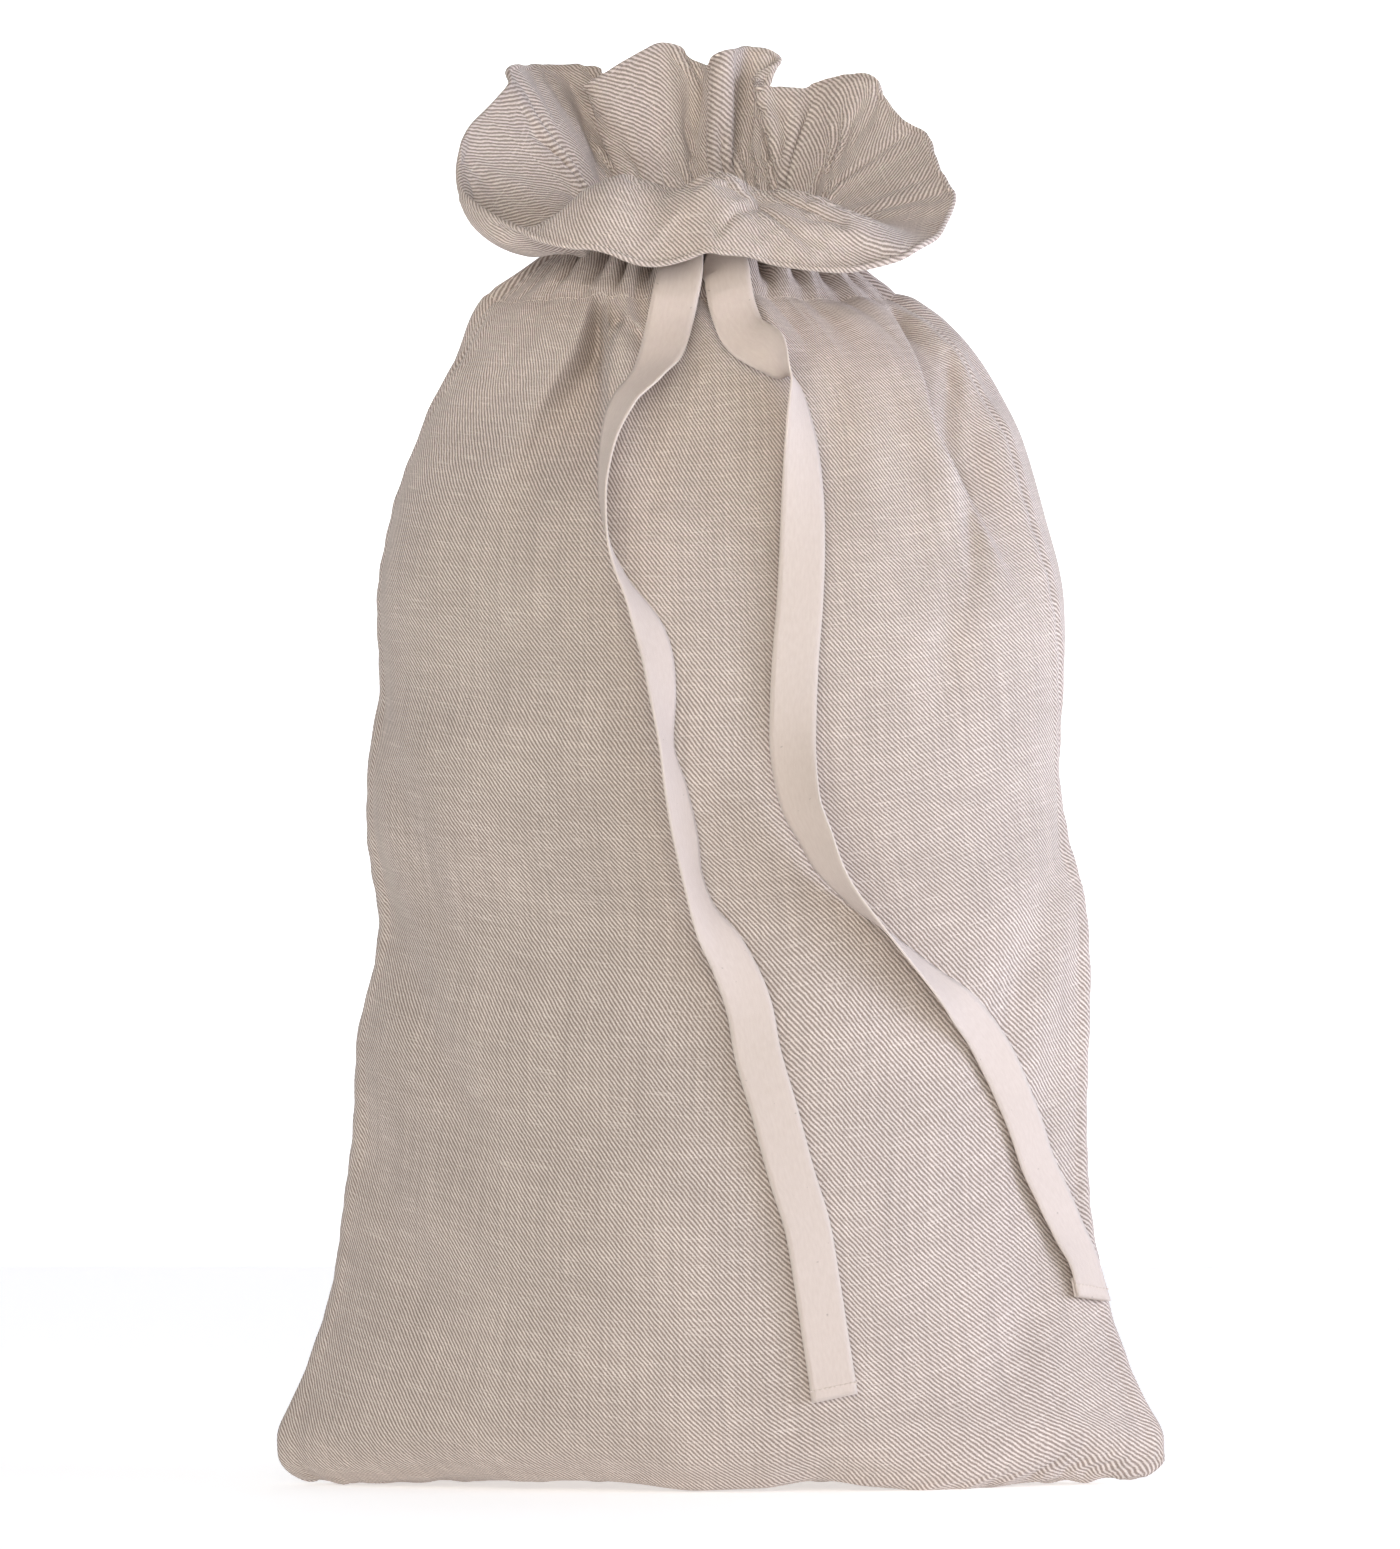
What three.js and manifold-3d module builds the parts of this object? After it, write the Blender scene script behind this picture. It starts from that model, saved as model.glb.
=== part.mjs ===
// A full drawstring storage bag of twill cloth, standing up, with its neck drawn in and its heading
// opened out like a flower above the drawstring.
// Millimetres, +Z up. The front faces -Y, and the origin is on the floor under the middle of the base.
import * as THREE from "three";
import { mergeVertices } from "three/addons/utils/BufferGeometryUtils.js";
import Module from "manifold-3d";

const wasm = await Module();
wasm.setup();

// Cloth, tape and thread
const CLOTH = 1.2;
const TAPE_WIDTH = 20;
const TAPE = 1.0;
const THREAD = 0.7;
const GAP = 0.3;

// Heights of the bag's stations above the floor
const EAR_HEIGHT = 14;
const EAR_ROOT_HEIGHT = 58;
const HIP_HEIGHT = 120;
const WAIST_HEIGHT = 370;
const SHOULDER_HEIGHT = 472;
const CASING_HEIGHT = 516;
const NECK_HEIGHT = 542;

// Half widths at those stations. The ears are the two lower corners, which the filling doesn't reach.
const FOOT_HALF_WIDTH = 172;
const EAR_HALF_WIDTH = 194;
const EAR_ROOT_HALF_WIDTH = 177;
const HIP_HALF_WIDTH = 162;
const WAIST_HALF_WIDTH = 149;
const SHOULDER_HALF_WIDTH = 124;
const CASING_HALF_WIDTH = 93;
const NECK_HALF_WIDTH = 58;

// Half depths at those stations, front and back alike
const FOOT_HALF_DEPTH = 50;
const EAR_HALF_DEPTH = 68;
const EAR_ROOT_HALF_DEPTH = 84;
const HIP_HALF_DEPTH = 94;
const WAIST_HALF_DEPTH = 90;
const SHOULDER_HALF_DEPTH = 67;
const CASING_HALF_DEPTH = 46;
const NECK_HALF_DEPTH = 30;

// A section is pointed at its side seams near the floor and round near the neck
const SEAM_POINT = 1.9;
const CORNER_LIFT = 4;
const NECK_SHIFT = -9;
const LEAN_START = 470;

// Gathers: the waves that the drawstring pulls into the cloth, which open out again in the frill
const GATHERS = 10;
const GATHER_START = 400;
const GATHER_DEPTH = 1.5;
const LOBE_DEPTH = 11;

// Frill: the heading above the drawstring, and how far it leans over at the hem, in degrees
const FRILL_HEIGHT = 85;
const FRONT_LEAN = 200;
const SIDE_LEAN = 70;
const BACK_LEAN = 40;
const HEM_WIDTH = 4;

// Sewing
const SEAM_ALLOWANCE = 10;
const SEAM_STITCH_SHARE = 0.94;
const SEAM_STITCH_WIDTH = 0.01;
const CASING_STITCH_INSET = 1.5;
const BUTTONHOLE_WIDTH = 7;
const BUTTONHOLE_HEIGHT = 21;
const TAIL_HEM = 9;

// The tails of the drawstring, from the buttonhole down: x, y, z and the turn of the tape in degrees.
// At a turn of 0 the tape lies flat to the front, and at 90 it stands on edge with its right edge forward.
const LEFT_TAIL = [
  [-10.4, -36, 528.5, 90],
  [-10.4, -43, 533, 88],
  [-13, -53, 529, 62],
  [-17, -57, 518, 38],
  [-21, -63, 505, 42],
  [-25, -71, 490, 45],
  [-32, -75, 479, 55],
  [-41, -77, 469, 60],
  [-47, -80, 454, 66],
  [-50, -87, 432, 80],
  [-48, -93, 410, 92],
  [-43, -96, 395, 103],
  [-35, -99, 380, 116],
  [-28, -99, 363, 131],
  [-25, -101, 345, 125],
  [-23, -103, 321, 107],
  [-19, -103, 302, 117],
  [-15, -103, 282, 121],
  [-12, -104, 265, 115],
  [-6, -104, 247, 123],
  [4, -100, 230, 146],
  [12, -97, 210, 166],
  [16, -96, 189, 174],
  [23, -95, 165, 172],
  [30, -94, 139, 169],
  [37, -92, 116, 166],
  [41, -89, 93, 166],
  [45, -84, 67, 167],
  [49, -78, 42, 168],
];
const RIGHT_TAIL = [
  [-6, -36, 528.5, 90],
  [-6, -42, 532, 88],
  [-1, -49, 528, 58],
  [2, -55, 519, 40],
  [5, -61, 508, 35],
  [11, -67, 497, 43],
  [21, -72, 490, 60],
  [27, -75, 483, 78],
  [32, -76, 476, 100],
  [34, -79, 458, 125],
  [35, -82, 436, 146],
  [35, -86, 410, 163],
  [34, -89, 384, 171],
  [32, -91, 358, 173],
  [31, -93, 336, 181],
  [31, -95, 317, 196],
  [34, -98, 297, 214],
  [40, -99, 283, 225],
  [47, -99, 268, 235],
  [58, -96, 254, 245],
  [70, -92, 242, 253],
  [83, -85, 229, 261],
  [97, -75, 215, 274],
  [109, -62, 202, 295],
  [119, -51, 186, 310],
  [126, -44, 171, 313],
  [132, -39, 156, 312],
  [137, -33, 141, 310],
  [144, -27, 126, 307],
  [151, -20, 111, 305],
  [158, -16, 96, 307],
  [163, -15, 78, 311],
];
const RIGHT_END_SLANT = 7;

// Steps of the facets
const RING_STEPS = 30;
const WALL_ROWS = 18;
const FRILL_ROWS = 7;
const TAIL_STEPS = 48;
const ROW_CROWDING = 0.6;

const QUARTER = Math.PI / 2;
const SLOPE_STEP = 0.01;
const radians = THREE.MathUtils.degToRad;
const smooth = THREE.MathUtils.smoothstep;

const TWILL = new THREE.MeshStandardMaterial({ color: 0xc3b5aa, roughness: 0.95, metalness: 0 });
const TAPE_COTTON = new THREE.MeshStandardMaterial({ color: 0xe8dbd0, roughness: 0.9, metalness: 0 });
const THREAD_COTTON = new THREE.MeshStandardMaterial({ color: 0xe9e1d6, roughness: 0.8, metalness: 0 });

// A smooth curve through [place, value] stations that rises and falls only where they do.
function through(stations) {
  const slopes = stations.map(([at, value], i) => {
    if (i === 0 || i === stations.length - 1) {
      const [a, b] = i === 0 ? [stations[0], stations[1]] : stations.slice(-2);
      return (b[1] - a[1]) / (b[0] - a[0]);
    }
    const before = (value - stations[i - 1][1]) / (at - stations[i - 1][0]);
    const after = (stations[i + 1][1] - value) / (stations[i + 1][0] - at);
    return before * after <= 0 ? 0 : (2 * before * after) / (before + after);
  });
  return (at) => {
    let i = 0;
    while (i < stations.length - 2 && at > stations[i + 1][0]) i += 1;
    const [a, b] = [stations[i], stations[i + 1]];
    const span = b[0] - a[0];
    const t = THREE.MathUtils.clamp((at - a[0]) / span, 0, 1);
    const late = t * t * (3 - 2 * t);
    const lead = t * (1 - t) * (1 - t) * slopes[i];
    const tail = t * t * (t - 1) * slopes[i + 1];
    return a[1] * (1 - late) + b[1] * late + span * (lead + tail);
  };
}

const STATIONS = [0, EAR_HEIGHT, EAR_ROOT_HEIGHT, HIP_HEIGHT, WAIST_HEIGHT,
  SHOULDER_HEIGHT, CASING_HEIGHT, NECK_HEIGHT];
const HALF_WIDTHS = [FOOT_HALF_WIDTH, EAR_HALF_WIDTH, EAR_ROOT_HALF_WIDTH, HIP_HALF_WIDTH, WAIST_HALF_WIDTH,
  SHOULDER_HALF_WIDTH, CASING_HALF_WIDTH, NECK_HALF_WIDTH];
const HALF_DEPTHS = [FOOT_HALF_DEPTH, EAR_HALF_DEPTH, EAR_ROOT_HALF_DEPTH, HIP_HALF_DEPTH, WAIST_HALF_DEPTH,
  SHOULDER_HALF_DEPTH, CASING_HALF_DEPTH, NECK_HALF_DEPTH];
const halfWidth = through(STATIONS.map((z, i) => [z, HALF_WIDTHS[i]]));
const halfDepth = through(STATIONS.map((z, i) => [z, HALF_DEPTHS[i]]));
const seamPoint = (z) => THREE.MathUtils.lerp(SEAM_POINT, 1, smooth(z, 0, SHOULDER_HEIGHT));
const middle = (z) => NECK_SHIFT * smooth(z, LEAN_START, NECK_HEIGHT);
const gatherDepth = (z) => GATHER_DEPTH * smooth(z, GATHER_START, CASING_HEIGHT);

// The way out of the bag, level, at an angle across the front or back: side is -1 in front, 1 behind.
function outward(angle, z, side) {
  const across = Math.sin(angle) / halfWidth(z);
  const along = (side * Math.cos(angle)) / halfDepth(z);
  return new THREE.Vector3(across, along, 0).normalize();
}

const wave = (angle) => -Math.cos(GATHERS * angle);

// A point on the outside of the bag below the frill.
function wallPoint(angle, z, side) {
  const bulge = halfDepth(z) * Math.max(Math.cos(angle), 0) ** seamPoint(z);
  const point = new THREE.Vector3(middle(z) + halfWidth(z) * Math.sin(angle), side * (GAP / 2 + bulge), z);
  return point.addScaledVector(outward(angle, z, side), gatherDepth(z) * wave(angle));
}

// The height of a wall row, from an edge near the floor up to the casing. Rows crowd together towards
// both ends, where the outline turns most.
function rowHeight(share, edge) {
  const crowded = share - (ROW_CROWDING * Math.sin(2 * Math.PI * share)) / (2 * Math.PI);
  return THREE.MathUtils.lerp(edge, CASING_HEIGHT - GAP, crowded);
}

// A panel's outside: its first row is the flat foot from the bottom seam out, and the rest is the wall.
function panelSkin(side) {
  const foot = 1 / WALL_ROWS;
  return (u, v) => {
    const angle = QUARTER * u;
    const edge = CORNER_LIFT * Math.abs(Math.sin(angle)) ** 12;
    const start = wallPoint(angle, edge, side);
    if (v < foot) {
      const seam = new THREE.Vector3(wallPoint(angle, 0, side).x, (side * GAP) / 2, 0);
      return seam.lerp(start, v / foot);
    }
    return wallPoint(angle, rowHeight((v - foot) / (1 - foot), edge), side);
  };
}

// The neck: straight from the lower row of casing stitches up to the foot of the frill.
const neckSkin = (side) => (u, v) => {
  const low = wallPoint(QUARTER * u, CASING_HEIGHT, side);
  return low.lerp(wallPoint(QUARTER * u, NECK_HEIGHT - GAP, side), v);
};

// How far the frill has leaned over at its hem, in radians, at an angle from the front round to the back.
function hemLean(round) {
  const even = (FRONT_LEAN + BACK_LEAN) / 2;
  const steady = (even + SIDE_LEAN) / 2;
  const swing = (FRONT_LEAN - BACK_LEAN) / 2;
  return radians(steady + swing * Math.cos(round) + (even - steady) * Math.cos(2 * round));
}

// The frill's outside: upright at the drawstring, then bent over evenly, with lobes that grow to the hem.
const frillSkin = (side) => (u, v) => {
  const angle = QUARTER * u;
  const out = outward(angle, NECK_HEIGHT, side);
  const lean = hemLean(side < 0 ? angle : Math.PI - angle);
  const bend = FRILL_HEIGHT / lean;
  const point = new THREE.Vector3(
    middle(NECK_HEIGHT) + NECK_HALF_WIDTH * Math.sin(angle),
    side * (GAP / 2 + NECK_HALF_DEPTH * Math.cos(angle)),
    NECK_HEIGHT,
  );
  point.addScaledVector(out, bend * (1 - Math.cos(lean * v)));
  point.z += bend * Math.sin(lean * v);
  const depth = wave(angle) * THREE.MathUtils.lerp(GATHER_DEPTH, LOBE_DEPTH, v);
  point.addScaledVector(out, depth * Math.cos(lean * v));
  point.z -= depth * Math.sin(lean * v);
  return point;
};

// Unit vector square to a skin at (u, v), on the side that du x dv points to.
function squareTo(skin, u, v, [u0, u1], [v0, v1]) {
  const clamp = THREE.MathUtils.clamp;
  const along = skin(clamp(u + SLOPE_STEP, u0, u1), v).sub(skin(clamp(u - SLOPE_STEP, u0, u1), v));
  const up = skin(u, clamp(v + SLOPE_STEP, v0, v1)).sub(skin(u, clamp(v - SLOPE_STEP, v0, v1)));
  return along.cross(up).normalize();
}

// A closed sheet that follows a skin, between two depths below it. turn is -1 where du x dv points inwards,
// reach is where the skin is defined, and keep moves a point that would cross a seam back to its own side.
function sheet(skin, { steps, rows, u = [-1, 1], v = [0, 1], from = 0, to, turn = 1, reach = u, keep }) {
  const positions = [];
  const count = (steps + 1) * (rows + 1);
  for (const depth of [from, to]) {
    for (let j = 0; j <= rows; j += 1) {
      for (let i = 0; i <= steps; i += 1) {
        const a = THREE.MathUtils.lerp(u[0], u[1], i / steps);
        const b = THREE.MathUtils.lerp(v[0], v[1], j / rows);
        const point = skin(a, b).addScaledVector(squareTo(skin, a, b, reach, [0, 1]), -depth * turn);
        if (keep) keep(point);
        positions.push(point.x, point.y, point.z);
      }
    }
  }
  const index = [];
  const quad = (a, b, c, d) => {
    if (turn > 0) index.push(a, b, c, a, c, d);
    else index.push(a, c, b, a, d, c);
  };
  const at = (i, j) => j * (steps + 1) + i;
  for (let j = 0; j < rows; j += 1) {
    for (let i = 0; i < steps; i += 1) {
      quad(at(i, j), at(i + 1, j), at(i + 1, j + 1), at(i, j + 1));
      quad(count + at(i, j + 1), count + at(i + 1, j + 1), count + at(i + 1, j), count + at(i, j));
    }
    quad(at(0, j), at(0, j + 1), count + at(0, j + 1), count + at(0, j));
    quad(at(steps, j + 1), at(steps, j), count + at(steps, j), count + at(steps, j + 1));
  }
  for (let i = 0; i < steps; i += 1) {
    quad(at(i + 1, 0), at(i, 0), count + at(i, 0), count + at(i + 1, 0));
    quad(at(i, rows), at(i + 1, rows), count + at(i + 1, rows), count + at(i, rows));
  }
  const geometry = new THREE.BufferGeometry();
  geometry.setAttribute("position", new THREE.Float32BufferAttribute(positions, 3));
  geometry.setIndex(index);
  return geometry;
}

// Keeps a point on its own side of the two side seams, and above a level where one is given.
const ownSide = (side, level = 0) => (point) => {
  point.y = side * Math.max(side * point.y, GAP / 2);
  point.z = Math.max(point.z, level);
};

function toSolid(geometry) {
  const bare = geometry.clone();
  bare.deleteAttribute("normal");
  bare.deleteAttribute("uv");
  const merged = mergeVertices(bare);
  return new wasm.Manifold(new wasm.Mesh({
    numProp: 3,
    vertProperties: merged.attributes.position.array,
    triVerts: new Uint32Array(merged.index.array),
  }));
}

function toGeometry(solid) {
  const mesh = solid.getMesh();
  const geometry = new THREE.BufferGeometry();
  geometry.setAttribute("position", new THREE.BufferAttribute(mesh.vertProperties, 3));
  geometry.setIndex(new THREE.BufferAttribute(mesh.triVerts, 1));
  return geometry;
}

const bag = new THREE.Group();

function piece(group, name, geometry, material) {
  const mesh = new THREE.Mesh(geometry, material);
  mesh.name = name;
  mesh.material = material.clone();
  group.add(mesh);
}

// Body: two panels, and the seam allowances and rows of stitches that join them
const body = new THREE.Group();
bag.add(body);

for (const [name, side] of [["front_panel", -1], ["back_panel", 1]]) {
  const cut = { steps: RING_STEPS, rows: WALL_ROWS, to: CLOTH, turn: -side, keep: ownSide(side) };
  piece(body, name, sheet(panelSkin(side), cut), TWILL);
}

// How far in from the side outline there is room between the panels for both layers of a seam allowance.
function seamInset(z) {
  const room = 3 * (CLOTH + GAP);
  const share = (room / halfDepth(z)) ** (1 / seamPoint(z));
  const pointed = halfWidth(z) * (1 - Math.sqrt(1 - share * share));
  return Math.max(pointed, CLOTH + 2 * GAP) + gatherDepth(z) / 2;
}

const SEAM_ROWS = WALL_ROWS - 3;
const SEAM_LOW = 1 / (WALL_ROWS - 1);
for (const [name, hand] of [["left", -1], ["right", 1]]) {
  const strip = (u, v) => {
    const z = rowHeight(THREE.MathUtils.lerp(SEAM_LOW, 1 - SEAM_LOW, v), CORNER_LIFT);
    const inset = seamInset(z) + SEAM_ALLOWANCE * (1 - u);
    return new THREE.Vector3(middle(z) + hand * (halfWidth(z) - inset), -CLOTH, z);
  };
  const cut = { steps: 1, rows: SEAM_ROWS, u: [0, 1], to: 2 * CLOTH, turn: hand, reach: [0, 1] };
  piece(body, `${name}_seam_allowance`, sheet(strip, cut), TWILL);

  const share = SEAM_STITCH_SHARE;
  const row = hand < 0 ? [-share, -share + SEAM_STITCH_WIDTH] : [share - SEAM_STITCH_WIDTH, share];
  const above = { from: -GAP - THREAD, to: -GAP };
  const stitch = { steps: 1, rows: SEAM_ROWS, u: row, v: [2 / WALL_ROWS, 1 - 1 / WALL_ROWS], ...above };
  piece(body, `${name}_seam_stitch`, sheet(panelSkin(-1), stitch), THREAD_COTTON);
}

// The bottom seam lies inside, on the foot, from one ear to the other.
const BOTTOM_HALF_LENGTH = FOOT_HALF_WIDTH - 3 * SEAM_ALLOWANCE;
const BOTTOM_SEAT = CLOTH + 1.5 * GAP;
const bottomStrip = new THREE.BoxGeometry(2 * BOTTOM_HALF_LENGTH, SEAM_ALLOWANCE, 2 * CLOTH);
bottomStrip.translate(0, 0, BOTTOM_SEAT + CLOTH);
piece(body, "bottom_seam_allowance", bottomStrip, TWILL);
const bottomStitch = new THREE.BoxGeometry(2 * BOTTOM_HALF_LENGTH, THREAD, THREAD);
bottomStitch.translate(0, 0, BOTTOM_SEAT + 2 * CLOTH + GAP + THREAD / 2);
piece(body, "bottom_seam_stitch", bottomStitch, THREAD_COTTON);

// Neck and frill, front and back: casing, lining, drawstring run, stitches, frill and hem
const TAPE_DEPTH = CLOTH + GAP;
const LINING_DEPTH = TAPE_DEPTH + TAPE + GAP;
const NECK_SLANT = Math.hypot(NECK_HEIGHT - CASING_HEIGHT, CASING_HALF_DEPTH - NECK_HALF_DEPTH);
const TAPE_MARGIN = (1 - TAPE_WIDTH / NECK_SLANT) / 2;
const TAPE_SPAN = [TAPE_MARGIN, 1 - TAPE_MARGIN];
const LINING_SPAN = [TAPE_MARGIN - GAP / NECK_SLANT, 1 - TAPE_MARGIN / 2];
const STITCH_MARGIN = CASING_STITCH_INSET / NECK_SLANT;
const STITCH_WIDTH = THREAD / NECK_SLANT;
const RUN_END = 2 / RING_STEPS;
const BUTTONHOLE_HEIGHT_MID = (CASING_HEIGHT + NECK_HEIGHT) / 2;

// A box through the front of the casing where both tails come out.
function buttonholeCut(width, height) {
  const front = NECK_HALF_DEPTH + CASING_HALF_DEPTH;
  const box = new THREE.BoxGeometry(width, front, height);
  return box.translate(middle(BUTTONHOLE_HEIGHT_MID), -0.75 * front, BUTTONHOLE_HEIGHT_MID);
}

for (const [name, side] of [["front", -1], ["back", 1]]) {
  const collar = new THREE.Group();
  bag.add(collar);
  const neck = neckSkin(side);
  const ring = { steps: RING_STEPS, turn: -side, keep: ownSide(side, CASING_HEIGHT) };

  const casing = sheet(neck, { ...ring, rows: 1, to: CLOTH });
  if (side < 0) {
    const hole = toSolid(buttonholeCut(BUTTONHOLE_WIDTH, BUTTONHOLE_HEIGHT));
    piece(collar, "front_casing", toGeometry(toSolid(casing).subtract(hole)), TWILL);
  } else {
    piece(collar, "back_casing", casing, TWILL);
  }
  const inLining = { ...ring, rows: 1, v: LINING_SPAN, from: LINING_DEPTH, to: LINING_DEPTH + CLOTH };
  piece(collar, `${name}_casing_lining`, sheet(neck, inLining), TWILL);

  const inTape = { ...ring, rows: 1, v: TAPE_SPAN, from: TAPE_DEPTH, to: TAPE_DEPTH + TAPE };
  if (side > 0) {
    piece(collar, "back_drawstring_run", sheet(neck, inTape), TAPE_COTTON);
  } else {
    const steps = RING_STEPS / 2 - 1;
    const left = sheet(neck, { ...inTape, steps, u: [-1, -RUN_END] });
    const right = sheet(neck, { ...inTape, steps, u: [RUN_END, 1] });
    piece(collar, "front_left_drawstring_run", left, TAPE_COTTON);
    piece(collar, "front_right_drawstring_run", right, TAPE_COTTON);
  }

  const above = { from: -GAP - THREAD, to: -GAP };
  const lower = { ...ring, ...above, rows: 1, v: [STITCH_MARGIN, STITCH_MARGIN + STITCH_WIDTH] };
  const upper = { ...ring, ...above, rows: 1, v: [1 - STITCH_MARGIN - STITCH_WIDTH, 1 - STITCH_MARGIN] };
  piece(collar, `${name}_lower_stitch`, sheet(neck, lower), THREAD_COTTON);
  piece(collar, `${name}_upper_stitch`, sheet(neck, upper), THREAD_COTTON);

  const frill = frillSkin(side);
  const hemStart = 1 - HEM_WIDTH / FRILL_HEIGHT;
  const hemGap = (2 * GAP) / FRILL_HEIGHT;
  const open = { ...ring, rows: FRILL_ROWS, v: [0, hemStart - hemGap], to: CLOTH };
  piece(collar, `${name}_frill`, sheet(frill, open), TWILL);
  const hem = sheet(frill, { ...ring, rows: 1, v: [hemStart, 1], from: -CLOTH / 2, to: 1.5 * CLOTH });
  piece(collar, `${name}_frill_hem`, hem, TWILL);
}

// Tails of the drawstring, each with its end turned in and stitched down
function tailSkin(route, slant) {
  const points = route.map(([x, y, z]) => new THREE.Vector3(x, y, z));
  const path = new THREE.CatmullRomCurve3(points, false, "centripetal");
  const length = path.getLength();
  const turnAt = through(route.map(([, , , turn], i) => [i / (route.length - 1), turn]));
  const skin = (u, v) => {
    const share = path.getUtoTmapping(Math.min(v * (1 - (slant * (1 - u) * v) / (2 * length)), 1));
    const along = path.getTangent(share);
    const level = new THREE.Vector3(1, 0, 0).addScaledVector(along, -along.x).normalize();
    const turn = radians(turnAt(share));
    const across = level.clone().multiplyScalar(Math.cos(turn));
    across.addScaledVector(new THREE.Vector3().crossVectors(along, level), Math.sin(turn));
    return path.getPoint(share).addScaledVector(across, (u * TAPE_WIDTH) / 2);
  };
  return { skin, length };
}

for (const [name, route, slant] of [["left", LEFT_TAIL, 0], ["right", RIGHT_TAIL, RIGHT_END_SLANT]]) {
  const tail = new THREE.Group();
  bag.add(tail);
  const { skin, length } = tailSkin(route, slant);
  const hem = TAIL_HEM / length;
  const strip = { steps: 2, turn: -1 };
  const flat = sheet(skin, { ...strip, rows: TAIL_STEPS, from: -TAPE / 2, to: TAPE / 2 });
  piece(tail, `${name}_tail`, flat, TAPE_COTTON);
  const turned = { ...strip, rows: 1, v: [1 - hem, 1], from: TAPE / 2 + GAP, to: 1.5 * TAPE + GAP };
  piece(tail, `${name}_tail_hem`, sheet(skin, turned), TAPE_COTTON);
  const thread = { ...strip, rows: 1, v: [1 - hem, 1 - hem + THREAD / length], u: [-0.94, 0.94] };
  const stitch = sheet(skin, { ...thread, from: -TAPE / 2 - GAP - THREAD, to: -TAPE / 2 - GAP });
  piece(tail, `${name}_tail_stitch`, stitch, THREAD_COTTON);
}

export default bag;
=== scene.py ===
# %% [markdown]
# # A drawstring storage bag
#
# This lesson dresses a finished construction frame as a cloth bag: full, standing up, tied at the neck,
# with its heading opened out like a flower and two ends of tape hanging down the front. The frame gives
# the bodies and joints. Everything that is seen is built here, in metres.

import math

import bpy
import numpy as np
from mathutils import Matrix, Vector


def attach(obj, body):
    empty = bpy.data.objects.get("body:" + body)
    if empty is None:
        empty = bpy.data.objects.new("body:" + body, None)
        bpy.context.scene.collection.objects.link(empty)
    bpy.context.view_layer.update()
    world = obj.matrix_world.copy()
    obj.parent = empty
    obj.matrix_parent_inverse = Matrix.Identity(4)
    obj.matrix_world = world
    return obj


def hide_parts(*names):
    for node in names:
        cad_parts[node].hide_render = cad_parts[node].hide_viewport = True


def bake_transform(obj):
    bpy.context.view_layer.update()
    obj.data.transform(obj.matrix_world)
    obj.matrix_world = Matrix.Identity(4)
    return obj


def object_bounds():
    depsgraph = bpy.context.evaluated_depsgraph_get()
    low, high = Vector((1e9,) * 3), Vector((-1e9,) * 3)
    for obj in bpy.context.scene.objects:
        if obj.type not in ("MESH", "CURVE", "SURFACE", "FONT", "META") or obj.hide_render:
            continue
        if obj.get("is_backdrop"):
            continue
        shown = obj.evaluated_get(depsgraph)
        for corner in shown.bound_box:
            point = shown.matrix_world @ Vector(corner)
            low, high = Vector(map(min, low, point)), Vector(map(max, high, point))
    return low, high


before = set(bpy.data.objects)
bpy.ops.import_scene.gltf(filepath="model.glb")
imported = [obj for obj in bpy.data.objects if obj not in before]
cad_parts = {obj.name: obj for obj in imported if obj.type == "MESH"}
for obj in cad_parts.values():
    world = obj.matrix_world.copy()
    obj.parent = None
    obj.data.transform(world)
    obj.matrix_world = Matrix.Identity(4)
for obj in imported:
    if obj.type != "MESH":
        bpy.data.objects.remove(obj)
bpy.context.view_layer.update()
MM = 0.001

# %% [markdown]
# ## Camera
#
# The camera looks straight at the bag's front from well back, so that nothing near it looks too big. On
# the long side of the sensor a height of 0.6735 m has to fit at the bag's middle, which gives the lens.

# %% Camera
VIEW_HEIGHT = 0.6735
VIEW_DISTANCE = 4.5
SENSOR = 36.0
VIEW_X, VIEW_Z = -0.0087, 0.3085

scene = bpy.context.scene
lens = bpy.data.cameras.new("camera")
lens.sensor_width = SENSOR
lens.lens = SENSOR * VIEW_DISTANCE / VIEW_HEIGHT
camera = bpy.data.objects.new("camera", lens)
camera.location = (VIEW_X, -VIEW_DISTANCE, VIEW_Z)
camera.rotation_euler = (math.radians(90), 0, 0)
scene.collection.objects.link(camera)
scene.camera = camera
print("lens", round(lens.lens, 1), "mm")

# %% [markdown]
# ## Small tools
#
# Cloth is built on grids of points. `curve` draws a smooth line through a few chosen points, `finer` adds
# points between those of a grid, and `blur` finds the slow part of a shape. Modifiers could do some of
# this, but on grids each point's place on the flat cloth stays known, which the weave and the cuts need.

# %% Tools for grids of points
def curve(keys, at):
    """A smooth line through (place, value...) keys that doesn't overshoot, read at the places given."""
    keys = np.array(keys, float)
    place, value = keys[:, 0], keys[:, 1:]
    step = np.diff(place)[:, None]
    rise = np.diff(value, axis=0) / step
    slope = np.vstack([rise[:1], np.zeros_like(value[1:-1]), rise[-1:]])
    both = rise[:-1] * rise[1:]
    slope[1:-1] = np.where(both > 0, 2 * both / np.where(both > 0, rise[:-1] + rise[1:], 1), 0)
    at = np.clip(np.atleast_1d(at), place[0], place[-1])
    i = np.clip(np.searchsorted(place, at) - 1, 0, len(place) - 2)
    t = ((at - place[i]) / np.diff(place)[i])[:, None]
    late = t * t * (3 - 2 * t)
    bend = t * (1 - t) ** 2 * slope[i] + t * t * (t - 1) * slope[i + 1]
    return value[i] * (1 - late) + value[i + 1] * late + step[i] * bend

def smooth(x, low, high):
    """0 at low, 1 at high, with soft ends."""
    t = np.clip((np.asarray(x, float) - low) / (high - low), 0, 1)
    return t * t * (3 - 2 * t)

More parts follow.
